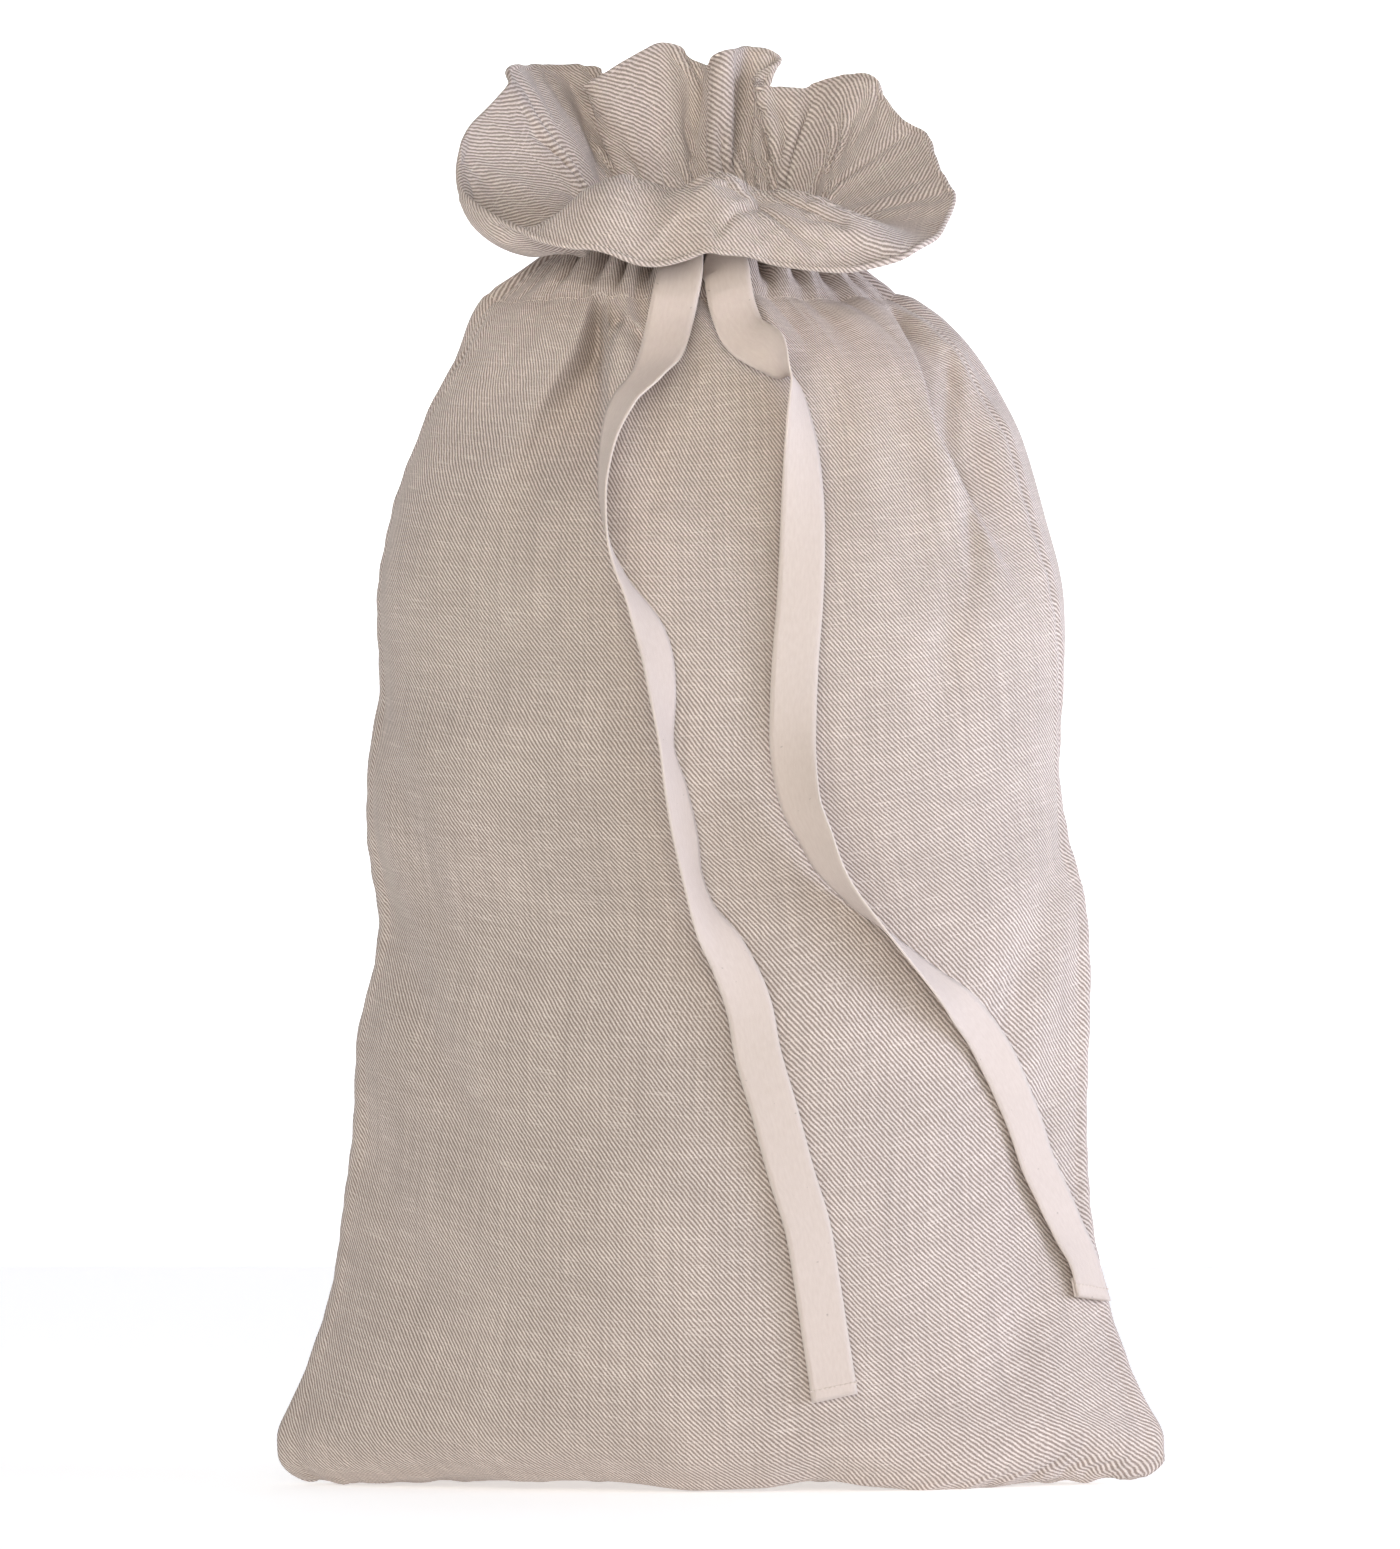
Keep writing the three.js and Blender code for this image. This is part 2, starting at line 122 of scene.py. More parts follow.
def distances(points):
    """How far along a line of points each of them is."""
    return np.concatenate([[0], np.cumsum(np.linalg.norm(np.diff(points, axis=0), axis=1))])

def even(points, count):
    """Points at even distances along a line of points."""
    gone = distances(points)
    want = np.linspace(0, gone[-1], count)
    return np.stack([np.interp(want, gone, points[:, k]) for k in range(points.shape[1])], axis=1)

def finer(grid, times, axis, ring=False):
    """A grid with times as many steps along an axis, on smooth curves through the old points."""
    grid = np.moveaxis(grid, axis, 0)
    count = len(grid)
    old = np.arange(count)
    if ring:
        ends = [grid[-1:], grid, grid[:2]]
    else:
        ends = [2 * grid[:1] - grid[1:2], grid, 2 * grid[-1:] - grid[-2:-1]]
    wide = np.concatenate(ends)
    rows = []
    for i in old if ring else old[:-1]:
        a, b, c, d = wide[i], wide[i + 1], wide[i + 2], wide[i + 3]
        for k in range(times):
            t = k / times
            rows.append(b + 0.5 * t * (c - a + t * (2 * a - 5 * b + 4 * c - d + t * (3 * (b - c) + d - a))))
    if not ring:
        rows.append(grid[-1])
    return np.moveaxis(np.array(rows), 0, axis)

def bell(reach):
    """Steps to both sides of a point, and the weight of each in an average."""
    steps = np.arange(-3 * reach, 3 * reach + 1)
    weight = np.exp(-0.5 * (steps / reach) ** 2)
    return steps, weight / weight.sum()

def blur_ring(values, reach):
    """The slow part of a ring: each entry averaged with those within reach steps of it."""
    return sum(w * np.roll(values, s, axis=0) for s, w in zip(*bell(reach)))

def blur(grid, reach):
    """The slow part of a ring of columns, along the columns as well as round the ring."""
    out = blur_ring(grid, reach)
    steps, weight = bell(reach)
    last = out.shape[1] - 1
    rows = np.arange(last + 1)
    folded = [np.abs(rows + s) for s in steps]
    folded = [np.where(f > last, 2 * last - f, f) for f in folded]
    return sum(w * out[:, f] for f, w in zip(folded, weight))

def normals(grid):
    """Unit vectors square to a ring of columns, pointing out of the bag."""
    across = np.roll(grid, -1, axis=0) - np.roll(grid, 1, axis=0)
    up = np.gradient(grid, axis=1)
    out = np.cross(across, up)
    return out / np.maximum(np.linalg.norm(out, axis=2, keepdims=True), 1e-12)

print("tools ready")

# %% [markdown]
# ## The tails of the drawstring
#
# Each tail is a flat tape. Its route is a list of points, with how far the tape is turned there: 0 lies
# flat to the front, 90 stands on edge. A strip is then swept along the route. Tape is too stiff across its
# width to need a simulation, and the turns along it are what make it look like tape.

# %% Routes of the tails
TAPE_WIDTH = 20 * MM
TAPE_THICK = 1.0 * MM
LEFT_TAIL = [
    (-10.4, -36, 528.5, 90), (-11.4, -43, 532, 70), (-16, -51, 528, 24), (-18.5, -54.5, 518, 6),
    (-21.5, -58, 503.5, 6), (-25.5, -66, 489, 16), (-32, -73, 479, 38), (-41, -77, 469, 54),
    (-47, -80, 454, 66), (-50, -87, 432, 80), (-48, -93, 410, 92), (-43, -96, 395, 103),
    (-35, -99, 380, 116), (-28, -99, 363, 131), (-25, -101, 345, 125), (-23, -103, 321, 107),
    (-19, -103, 302, 117), (-15, -103, 282, 121), (-12, -104, 265, 115), (-6, -104, 247, 123),
    (4, -100, 230, 146), (12, -97, 210, 166), (16, -96, 189, 174), (23, -95, 165, 172),
    (30, -94, 139, 169), (37, -92, 116, 166), (41, -89, 93, 166), (45, -84, 67, 167), (49, -78, 42, 168),
]
RIGHT_TAIL = [
    (-6, -36, 528.5, 90), (-5, -42, 532, 70), (2, -49.5, 528, 26), (3.5, -53, 518.5, 8), (6, -57, 507, 6),
    (11, -63, 496.5, 22), (21, -70, 490, 54), (27, -75, 483, 78), (32, -76, 476, 100),
    (34, -79, 458, 125), (35, -82, 436, 146), (35, -86, 410, 163), (34, -89, 384, 171),
    (32, -91, 358, 173), (31, -93, 336, 181), (31, -95, 317, 196), (34, -98, 297, 214),
    (40, -99, 283, 225), (47, -99, 268, 235), (58, -96, 254, 245), (70, -92, 242, 253),
    (83, -85, 229, 261), (97, -75, 215, 274), (109, -62, 202, 295), (119, -51, 186, 310),
    (126, -44, 171, 313), (132, -39, 156, 312), (137, -33, 141, 310), (144, -27, 126, 307),
    (151, -20, 111, 305), (158, -16, 96, 307), (163, -15, 78, 311),
]

def route(keys, count):
    """Even points along a tail's route, their directions, and the way across the tape at each."""
    keys = np.array(keys, float)
    fine = even(finer(keys, 12, 0), count)
    points = fine[:, :3] * MM
    along = np.gradient(points, axis=0)
    along /= np.linalg.norm(along, axis=1, keepdims=True)
    level = np.array([1.0, 0, 0]) - along * along[:, :1]
    level /= np.linalg.norm(level, axis=1, keepdims=True)
    turn = np.radians(fine[:, 3:])
    across = level * np.cos(turn) + np.cross(along, level) * np.sin(turn)
    return points, along, across

print(len(LEFT_TAIL), "and", len(RIGHT_TAIL), "points on the tails' routes")

# %% [markdown]
# ## Sheets of cloth
#
# Every cloth piece is a closed sheet: a grid of points for its outside, the same grid moved in by the
# cloth's thickness, and a rim. Its UV map is in metres of flat cloth, so that the weave follows the cloth
# round each fold. A Solidify modifier could thicken it, but would give both faces the same map.

# %% Sheet builder
def built(name, points, faces, flat):
    """A smooth object from points, faces, and each point's place on the flat cloth."""
    mesh = bpy.data.meshes.new(name)
    mesh.from_pydata(points.tolist(), [], faces)
    uv = mesh.uv_layers.new(name="flat")
    uv.data.foreach_set("uv", flat[np.concatenate(faces)].astype(np.float32).ravel())
    mesh.polygons.foreach_set("use_smooth", np.ones(len(faces), bool))
    made = bpy.data.objects.new(name, mesh)
    scene.collection.objects.link(made)
    print(name, len(mesh.vertices), "points")
    return made

def sheet(name, outside, inward, flat, thick, shade=None, flat_inside=None):
    """A closed mesh from a grid of outside points, the way in at each, and its place on the flat cloth."""
    columns, rows = outside.shape[:2]
    count = columns * rows
    place = np.arange(count).reshape(columns, rows)
    a, b, c, d = place[:-1, :-1], place[1:, :-1], place[1:, 1:], place[:-1, 1:]
    front = np.stack([a, b, c, d], axis=-1).reshape(-1, 4)
    edge = np.concatenate([place[:, 0], place[-1, 1:], place[-2::-1, -1], place[0, -2:0:-1]])
    after = np.roll(edge, -1)
    rim = np.stack([after, edge, edge + count, after + count], axis=-1)
    faces = np.concatenate([front, front[:, ::-1] + count, rim]).tolist()
    points = np.concatenate([outside.reshape(-1, 3), (outside + inward * thick).reshape(-1, 3)])
    inner = flat if flat_inside is None else flat_inside
    made = built(name, points, faces, np.concatenate([flat.reshape(-1, 2), inner.reshape(-1, 2)]))
    if shade is not None:
        way = np.concatenate([shade.reshape(-1, 3), -shade.reshape(-1, 3)])
        made.data.normals_split_custom_set_from_vertices(way.astype(np.float32).tolist())
    return made

print("sheet builder ready")

# %% [markdown]
# Now the tapes. The end of each is turned over once and sewn down, so that it can't fray. The turned
# layer lies on the side away from the camera, and `seen` tells which face the camera has, because the
# right tape turns over on its way.

# %% Make the tails
TAPE_POINTS, TAPE_COLUMNS = 260, 9
TAIL_HEM = 9 * MM
# the share of a tail's length from which its slanting end begins
SLANT_FROM = 0.8
# how far the turned end and its stitches lie from the tape's middle, in thicknesses of tape
HEM_APART, SEWN_APART = 1.55, 0.55

def tape(name, keys, slant, seen):
    """A tail: a strip of tape swept along its route, its turned end, and the line of stitches across that."""
    points, along, across = route(keys, TAPE_POINTS)
    share = np.linspace(-0.5, 0.5, TAPE_COLUMNS)
    grid = points[None] + across[None] * (share * TAPE_WIDTH)[:, None, None]
    reach = smooth(np.linspace(0, 1, len(points)), SLANT_FROM, 1)
    grid -= along[None] * (slant * (0.5 - share)[:, None] * reach[None])[..., None]
    inward = np.cross(along, across)[None].repeat(len(share), axis=0)
    gone = distances(points)
    flat = np.stack(np.meshgrid(share * TAPE_WIDTH, gone, indexing="ij"), axis=-1)
    made = sheet(name, grid - inward * TAPE_THICK / 2, inward, flat, TAPE_THICK)
    first = np.searchsorted(gone, gone[-1] - TAIL_HEM)
    end_in = inward[:, first:]
    behind = grid[:, first:] + end_in * (HEM_APART * TAPE_THICK * seen)
    end = sheet(f"{name}_hem", behind - end_in * TAPE_THICK / 2, end_in, flat[:, first:], TAPE_THICK)
    line = grid[:, first + 1] - inward[:, first + 1] * (SEWN_APART * TAPE_THICK * seen)
    return made, end, line, points, gone[-1]

left_tail, left_hem, left_sewn, left_path, left_length = tape("left_tail_tape", LEFT_TAIL, 0, 1)
right_tail, right_hem, right_sewn, right_path, right_length = tape("right_tail_tape", RIGHT_TAIL, 7 * MM, -1)
print("tails", round(left_length, 3), round(right_length, 3), "m")

# %% [markdown]
# ## The bag below the casing
#
# The bag is two flat panels, 400 mm wide, sewn at the sides and the bottom. Filled, each level of it is a
# lens: pointed at the side seams near the floor and round near the neck. The lists below are its left and
# right outlines and its depth. Each column of the flat cloth runs from the bottom seam out over the foot,
# then up the wall.

# %% Outline of the full bag
LEFT = [
    (0, -181), (8, -191), (19, -192.5), (36, -187), (54, -180), (89, -169), (123, -164), (158, -159),
    (193, -157.5), (228, -150), (246, -148.5), (262, -151), (285, -153.5), (315, -152.5), (350, -147),
    (385, -147.8), (420, -143), (454, -131), (471, -124), (489, -115), (506, -107), (516, -99),
    (542, -64),
]
RIGHT = [
    (0, 183), (8, 194), (19, 194), (36, 186.5), (54, 178.7), (89, 167), (123, 161.3), (158, 160),
    (210, 161.3), (245, 159.6), (262, 157), (280, 152), (315, 147), (332, 147.4), (367, 149),
    (385, 148.2), (420, 141), (454, 132), (471, 123.5), (489, 111), (506, 92), (516, 75), (542, 46),
]
DEPTH = [(0, 52), (14, 68), (58, 84), (120, 94), (370, 90), (472, 67), (516, 47), (542, 30)]
FLOOR_WAVE = [
    (-186, 3), (-165, 0.5), (-139, 3.5), (-113, 6), (-87, 4), (-61, 5), (-35, 4), (-9, 1.5), (17, 1.3),
    (43, 5.5), (70, 1.7), (96, 0.4), (120, 2), (148, 6.5), (170, 3), (186, 3),
]
PANEL = 0.400
WALL_FLAT, CASING_FLAT, HEADING_FLAT = 0.595, 0.031, 0.088
CASING_HEIGHT, NECK_HEIGHT = 0.516, 0.542
# columns of cloth in each half of the ring, and rows up it
HALF = 110
WALL_ROWS, CASING_ROWS, FRILL_ROWS = 100, 8, 28
# heights in millimetres: the top of the foot and of the wall, and where a level has lost its lens's point
FOOT_TOP, WALL_TOP, ROUND_FROM = 60, 516, 472
FOOT_POINT, POINT_LOST = 1.9, 0.9

def level_of(z, side):
    """One level of the bag across the front (side -1) or the back (1), at even distances along the cloth."""
    left, right = curve(LEFT, [z])[0, 0], curve(RIGHT, [z])[0, 0]
    deep = curve(DEPTH, [z])[0, 0]
    point = FOOT_POINT - POINT_LOST * smooth(z, 0, ROUND_FROM)
    angle = np.linspace(-np.pi / 2, np.pi / 2, 400)
    x = (left + right) / 2 + (right - left) / 2 * np.sin(angle)
    y = side * deep * np.maximum(np.cos(angle), 0) ** point
    return even(np.stack([x, y, np.full_like(x, z)], axis=1), HALF + 1)

def wall(side):
    """The front or back panel below the casing, as columns by rows."""
    heights = np.concatenate([np.linspace(0, FOOT_TOP, 25)[:-1], np.linspace(FOOT_TOP, WALL_TOP, 90)])
    levels = np.array([level_of(z, side) for z in heights])
    seam = levels[0].copy()
    seam[:, 1] = 0
    seam[:, 2] = 1.5 + 3.0 * np.abs(np.linspace(-1, 1, HALF + 1)) ** 8
    rise = 1 - smooth(heights, 0, 40)[:, None]
    lift = curve(FLOOR_WAVE, levels[0][:, 0])[:, 0]
    levels[:, :, 2] += lift * rise * (1 if side < 0 else 0.6)
    foot = [seam + (levels[0] - seam) * t for t in (0, 0.3, 0.6, 0.85)]
    lines = np.concatenate([foot, levels]).transpose(1, 0, 2)
    return np.array([even(line, WALL_ROWS + 1) for line in lines])

front_wall = wall(-1)
back_wall = wall(1)
ring = np.concatenate([front_wall[:-1], back_wall[::-1][:-1]])
print("wall", ring.shape, "height", round(ring[..., 2].max()), "mm")

# %% [markdown]
# The bag isn't filled quite square: at both shoulders the side seam has come round to the front. So the
# columns there are moved along each level, most at the seam, and the outline stays as it is.

# %% Turn the seams to the front
RIGHT_TURN = [(0, 0), (300, 0), (390, 6.5), (440, 8.5), (480, 8), (516, 6)]
LEFT_TURN = [(0, 0), (440, 0), (476, 3), (491, 5), (507, 6.5), (516, 6)]
TURN_REACH = 40

def turned(levels, seam, steps, way):
    """The ring with the columns near a seam moved, by so many steps at each height, towards the front."""
    columns = np.arange(2 * HALF)
    apart = (columns - seam + HALF) % (2 * HALF) - HALF
    share = np.exp(-((apart / TURN_REACH) ** 2))
    moved = curve(steps, levels[seam, :, 2])[:, 0]
    place = columns[:, None] + way * share[:, None] * moved[None]
    first = np.floor(place).astype(int)
    part = (place - first)[..., None]
    rows = np.arange(levels.shape[1])[None]
    return levels[first % (2 * HALF), rows] * (1 - part) + levels[(first + 1) % (2 * HALF), rows] * part

ring = turned(ring, HALF, RIGHT_TURN, -1)
ring = turned(ring, 0, LEFT_TURN, 1)
print("seams at the shoulder:", ring[[0, HALF], -1].round(1).tolist(), "mm")

# %% [markdown]
# ## The frill
#
# The heading stands up behind, opens at the sides and falls over in front, in about ten lobes. Its hem is
# a closed line of points, from the middle of the front round by the right. Each column of cloth leaves the
# drawn-in neck and bends to its own point on the hem. `bow` lifts the middle of a column: 1 for the lobes
# that fall over in front, less than 0 for a wing that sags. `lean` moves it back, so ridges have less of it
# and valleys more. The hem is written as the camera sees it, and a point nearer the camera is drawn in to
# make up for looking bigger.

# %% Hem of the frill
HEM = [
    # x, y, z, bow, lean
    (0, -79, 535, 0.93, 0), (12, -77, 534, 0.92, 0), (22, -75, 530.5, 0.78, 0), (36, -76, 528.5, 0.74, 0),
    (51, -77, 527, 0.88, 0), (62, -75, 528, 0.84, 0), (77, -69, 532, 0.62, 0), (87, -60, 537, 0.35, 0),
    (95, -49, 541.5, 0.12, 0), (99, -39, 548, 0, 0), (102.7, -26, 559, -0.12, 0),
    (98, -14, 567, -0.12, 0), (94, -3, 576, -0.06, 1), (92, 5, 583, 0, 2), (88, 11, 588, 0, 1),
    (80, 15, 592, 0, -2), (76, 20, 597, 0, 1), (72, 25, 602, 0, 2), (70, 27, 608, 0, 0),
    (65, 30, 612.4, 0, -2), (57, 35, 612.4, 0, 1), (48, 39, 610.8, 0, 3), (40, 39, 608.6, 0, 3),
    (36, 37, 606, 0, -2), (27, 37, 607, 0, -3), (16, 37, 608.5, 0, -3), (17, 42, 614, 0, 2),
    (27, 47, 621, 0, 5), (12, 50, 625, 0, 6), (7, 44, 624, 0, 3), (4, 36, 623.5, 0, -5),
    (-1, 35, 621.5, 0, -6), (-4, 40, 616.5, 0, 0), (-6, 45, 617, 0, 4), (-11, 46, 618.5, 0, 3),
    (-16, 45.5, 623, 0, 1), (-22.4, 44, 626, 0, -1), (-27.5, 43, 626, 0, -2), (-33, 41, 623, 0, -3),
    (-42, 39, 617.7, 0, -3), (-50, 38, 612.5, 0, -3), (-57, 38, 608, 0, -2), (-57, 44, 608, 0, 3),
    (-51, 53, 612, 0, 6), (-53, 59, 615.5, 0, 8), (-65, 58, 616.5, 0, 8), (-80, 52, 616, 0, 5),
    (-86, 43, 615.5, 0, 1), (-89.5, 33, 616, 0, -5), (-93, 25, 614, 0, -7), (-92, 15, 608, 0, -6),
    (-98.6, 6, 600, 0, -3), (-106, -2, 592.5, -0.1, 0), (-111.6, -10, 585, -0.22, 0),
    (-114.2, -19, 576, -0.38, 0), (-114, -27, 568, -0.52, 0), (-111, -36, 560.5, -0.6, 0),
    (-102, -48, 553.6, -0.58, 0), (-93, -57, 548, -0.34, 0), (-83.4, -64, 542, 0.25, 0),
    (-74, -69, 539, 0.6, 0), (-65, -73, 537.3, 0.72, 0), (-56, -75, 537, 0.78, 0),
    (-48, -76, 535, 0.78, 0), (-40.7, -76, 532, 0.74, 0), (-31.5, -75, 529.7, 0.68, 0),
    (-22.4, -76, 530.3, 0.68, 0), (-13, -77, 533, 0.74, 0), (-5.6, -79, 535.8, 0.86, 0),
]
# the drawn-in neck's middle and half sizes in x and y, and how high a full bow is
NECK = (-9, 0, 47, 29)
BOW = 46
# the standing petals keep this much nearer the neck's middle at their foot
THROAT = 0.25
# the two bends of a column, as shares of the way to its hem, and the lift of the first
FIRST_BEND, SECOND_BEND, FIRST_LIFT = 0.30, 0.72, 6.0
# the ridge behind the left wing leans to the right: where it is on the hem, how wide, and by how much
RIDGE_PLACE, RIDGE_REACH, RIDGE_LEAN = 0.675, 0.07, 9

def frill():
    """The casing's top line and the frill above it, as a ring of columns."""
    line = finer(np.array(HEM, float), 16, 0, ring=True)
    eye = np.array(camera.location) / MM
    nearer = 1 - line[:, 1:2] / eye[1]
    line[:, [0, 2]] = eye[[0, 2]] + (line[:, [0, 2]] - eye[[0, 2]]) * nearer
    line = np.vstack([line, line[:1]])
    long = np.linalg.norm(np.diff(line[:, :3], axis=0), axis=1).sum()
    hem = even(line, 2 * HALF + 1)[:-1]
    share = np.arange(2 * HALF) / (2 * HALF)
    turn = 2 * np.pi * share
    leaning = RIDGE_LEAN * np.exp(-(((share - RIDGE_PLACE) / RIDGE_REACH) ** 2))
    base = np.stack([
        NECK[0] + NECK[2] * np.sin(turn),
        NECK[1] - NECK[3] * np.cos(turn),
        np.full_like(turn, NECK_HEIGHT / MM),
    ], axis=1)
    bent = np.stack([leaning, hem[:, 4], hem[:, 3] * BOW], axis=1)
    end = hem[:, :3]
    first = base + (end - base) * FIRST_BEND + bent + np.array([0, 0, FIRST_LIFT])
    standing = 1 - smooth(hem[:, 3], 0, 0.3)
    first[:, :2] -= (first[:, :2] - np.array(NECK[:2])) * (THROAT * standing)[:, None]
    second = base + (end - base) * (SECOND_BEND - 0.75 * np.minimum(hem[:, 3:4], 0)) + bent
    t = np.linspace(0, 1, FRILL_ROWS + 1)[None, :, None]
    parts = [base, first, second, end]
    weights = [(1 - t) ** 3, 3 * t * (1 - t) ** 2, 3 * t * t * (1 - t), t ** 3]
    grid = sum(p[:, None] * w for p, w in zip(parts, weights))
    print("hem", round(long), "mm long, cut to", round(2 * PANEL / MM), "mm")
    # the list starts in the middle of the front, and the ring of the bag at the left seam
    return np.roll(grid, HALF // 2, axis=0)

opened = frill()
low = ring[:, -1]
high = opened[:, 0]
share = np.linspace(0, 1, CASING_ROWS + 1)[None, :, None]
neck = low[:, None] * (1 - share) + high[:, None] * share
bag = np.concatenate([ring, neck[:, 1:], opened[:, 1:]], axis=1) * MM
across = (np.arange(2 * HALF + 1) / HALF - 0.5) * PANEL
along = np.concatenate([
    np.linspace(0, WALL_FLAT, WALL_ROWS + 1),
    WALL_FLAT + np.linspace(0, CASING_FLAT, CASING_ROWS + 1)[1:],
    WALL_FLAT + CASING_FLAT + np.linspace(0, HEADING_FLAT, FRILL_ROWS + 1)[1:],
])
print("bag grid", bag.shape)

# %% [markdown]
# ## Folds of the shoulders
#
# Where the drawstring draws the cloth in, the spare width lies over itself in tucks. Five show on the
# front, two at the right shoulder and three at the left. Each is a line of points: the cloth drops on one
# side of it, over an edge of its own width, and comes back slowly. Softer valleys run between them, and
# round the back. A simulation alone would put folds anywhere, so these are drawn: the valleys now, and the
# tucks after it, to keep their edges.

# %% Valleys
VALLEYS = [
    # x and z at the top, x and z at the bottom, depth, half width
    (-28, 505, -30, 415, 3.0, 12), (-8, 500, -8, 425, 2.2, 10), (45, 520, 51, 425, 3.0, 11),
    (30, 520, 34, 470, 2, 7), (75, 515, 96, 330, 2.0, 14), (-95, 480, -112, 330, 2.5, 18),
    (0, 330, 5, 120, 1.5, 40), (-70, 430, -80, 200, 2, 30), (104, 395, 96, 340, 3.0, 9),
    (152, 275, 112, 170, 3.5, 10), (158, 225, 128, 110, 3.0, 9), (150, 120, 120, 40, 2.5, 12),
    (-146, 250, -108, 150, 3.0, 10), (-150, 335, -122, 240, 2.5, 9), (-158, 160, -120, 60, 2.5, 12),
]
BACK_VALLEYS = 9

def valleys(grid, places):
    """How far soft folds push each point of the ring in, in millimetres."""
    x, y, z = grid[..., 0], grid[..., 1], grid[..., 2]
    wall_only = 1 - smooth(places, WALL_FLAT - 0.005, WALL_FLAT + 0.02)
    front = smooth(-y, 0, 12) * wall_only
    sunk = np.zeros_like(x)
    for x_top, z_top, x_low, z_low, depth, half in VALLEYS:
        share = (z - z_low) / (z_top - z_low)
        apart = x - (x_low + (x_top - x_low) * share)
        sunk += front * depth * np.exp(-(apart / half) ** 2) * smooth(share, -0.3, 0.5)
    rng = np.random.default_rng(11)
    back = smooth(y, 0, 12) * wall_only
    for k in range(BACK_VALLEYS):
        middle = -120 + 240 * (k + rng.uniform(0.2, 0.8)) / BACK_VALLEYS
        reach = rng.uniform(60, 150)
        apart = x - middle * np.interp(z, [300, 540], [1.15, 0.5])
        deep, half = rng.uniform(2, 4), rng.uniform(8, 15)
        sunk += back * deep * np.exp(-(apart / half) ** 2) * smooth(z, WALL_TOP - reach, WALL_TOP)
    return sunk

bag = bag - normals(bag) * (valleys(bag / MM, along[None]) * MM)[..., None]
print(len(VALLEYS), "valleys in front,", BACK_VALLEYS, "behind")

# %% Tucks
BACK, BACK_LEFT = (0, 1, 0), (-0.55, 0.75, -0.35)
TUCKS = [
    # points (x, z, width) of the ridge from the top, the side that drops (1 right, -1 left), how deep,
    # how wide the edge is, and the way it drops
    ([(61.6, 525, 14), (75, 504, 21), (85, 482, 28), (92, 457, 30), (101, 438, 30), (118, 402, 24),
      (133, 367, 16)], 1, 9, 6, BACK_LEFT),
    ([(97, 448, 12), (101, 425, 14), (103, 398, 16), (101, 370, 18)], 1, 4, 4, BACK),
    ([(-56, 508, 12), (-65, 491, 20), (-76, 477, 30), (-85, 460, 34), (-92, 442, 34), (-98, 424, 32),
      (-103, 390, 28)], 1, 9, 14, BACK),
    ([(-49, 516, 8), (-49, 511, 9), (-49, 487, 17), (-49, 465, 30), (-51, 444, 36), (-52, 420, 40)],
     -1, 17, 3.5, BACK),
    ([(-48, 527, 10), (-43.5, 511, 11), (-32, 497, 12), (-28, 480, 12)], -1, 6, 3, BACK),
]
# a tuck fades over this share of its length; its crest's height, place before the edge and width
TUCK_FADE = 0.6
TUCK_CREST, CREST_PLACE, CREST_WIDTH = 0.2, 5, 8

def tucks(grid, places, sides):
    """How far, and which way, the big tucks push each point of the ring, in millimetres."""
    x, z = grid[..., 0], grid[..., 2]
    from_seam = PANEL / 2 - np.abs(sides)
    front = smooth(from_seam, 0.002, 0.022) * (1 - smooth(places, WALL_FLAT - 0.016, WALL_FLAT + 0.006))
    pushed = np.zeros_like(grid)
    for line, side, depth, edge, way in TUCKS:
        line = np.array(line)[::-1]
        ridge = curve(line[:, [1, 0, 2]], z.ravel()).reshape(*z.shape, 2)
        apart = side * (x - ridge[..., 0])
        reach = (line[-1, 1] - line[0, 1]) * TUCK_FADE
        fade = smooth(z, line[0, 1], line[0, 1] + reach)
        drop = smooth(apart, -0.5, edge) * (1 - smooth(apart, edge, np.maximum(ridge[..., 1], edge + 2)))
        crest = np.exp(-(((apart + CREST_PLACE) / CREST_WIDTH) ** 2))
        pushed += (front * fade * depth * (drop - TUCK_CREST * crest))[..., None] * np.array(way)
    return pushed

print(len(TUCKS), "tucks")

# %% [markdown]
# ## Gathers at the drawstring
#
# The casing is drawn in to a third of its width, in pleats of uneven width that are round outside and
# sharp inside. They are a wave round the ring, with chance widths from a fixed seed. On the front they
# are slight below the lower stitches and full above them, and in the frill they die out.

# %% Gathers
PLEATS = 24
GATHER = 6 * MM
# the front's left and right gathers are weaker than its middle ones
LEFT_GATHERS, RIGHT_GATHERS = slice(0, 4), slice(7, 12)

def from_seams(s):
    """How far places across the ring are from the nearest side seam, in metres."""
    return np.minimum.reduce([np.abs(s - e * PANEL) for e in (-0.5, 0.5, 1.5)])

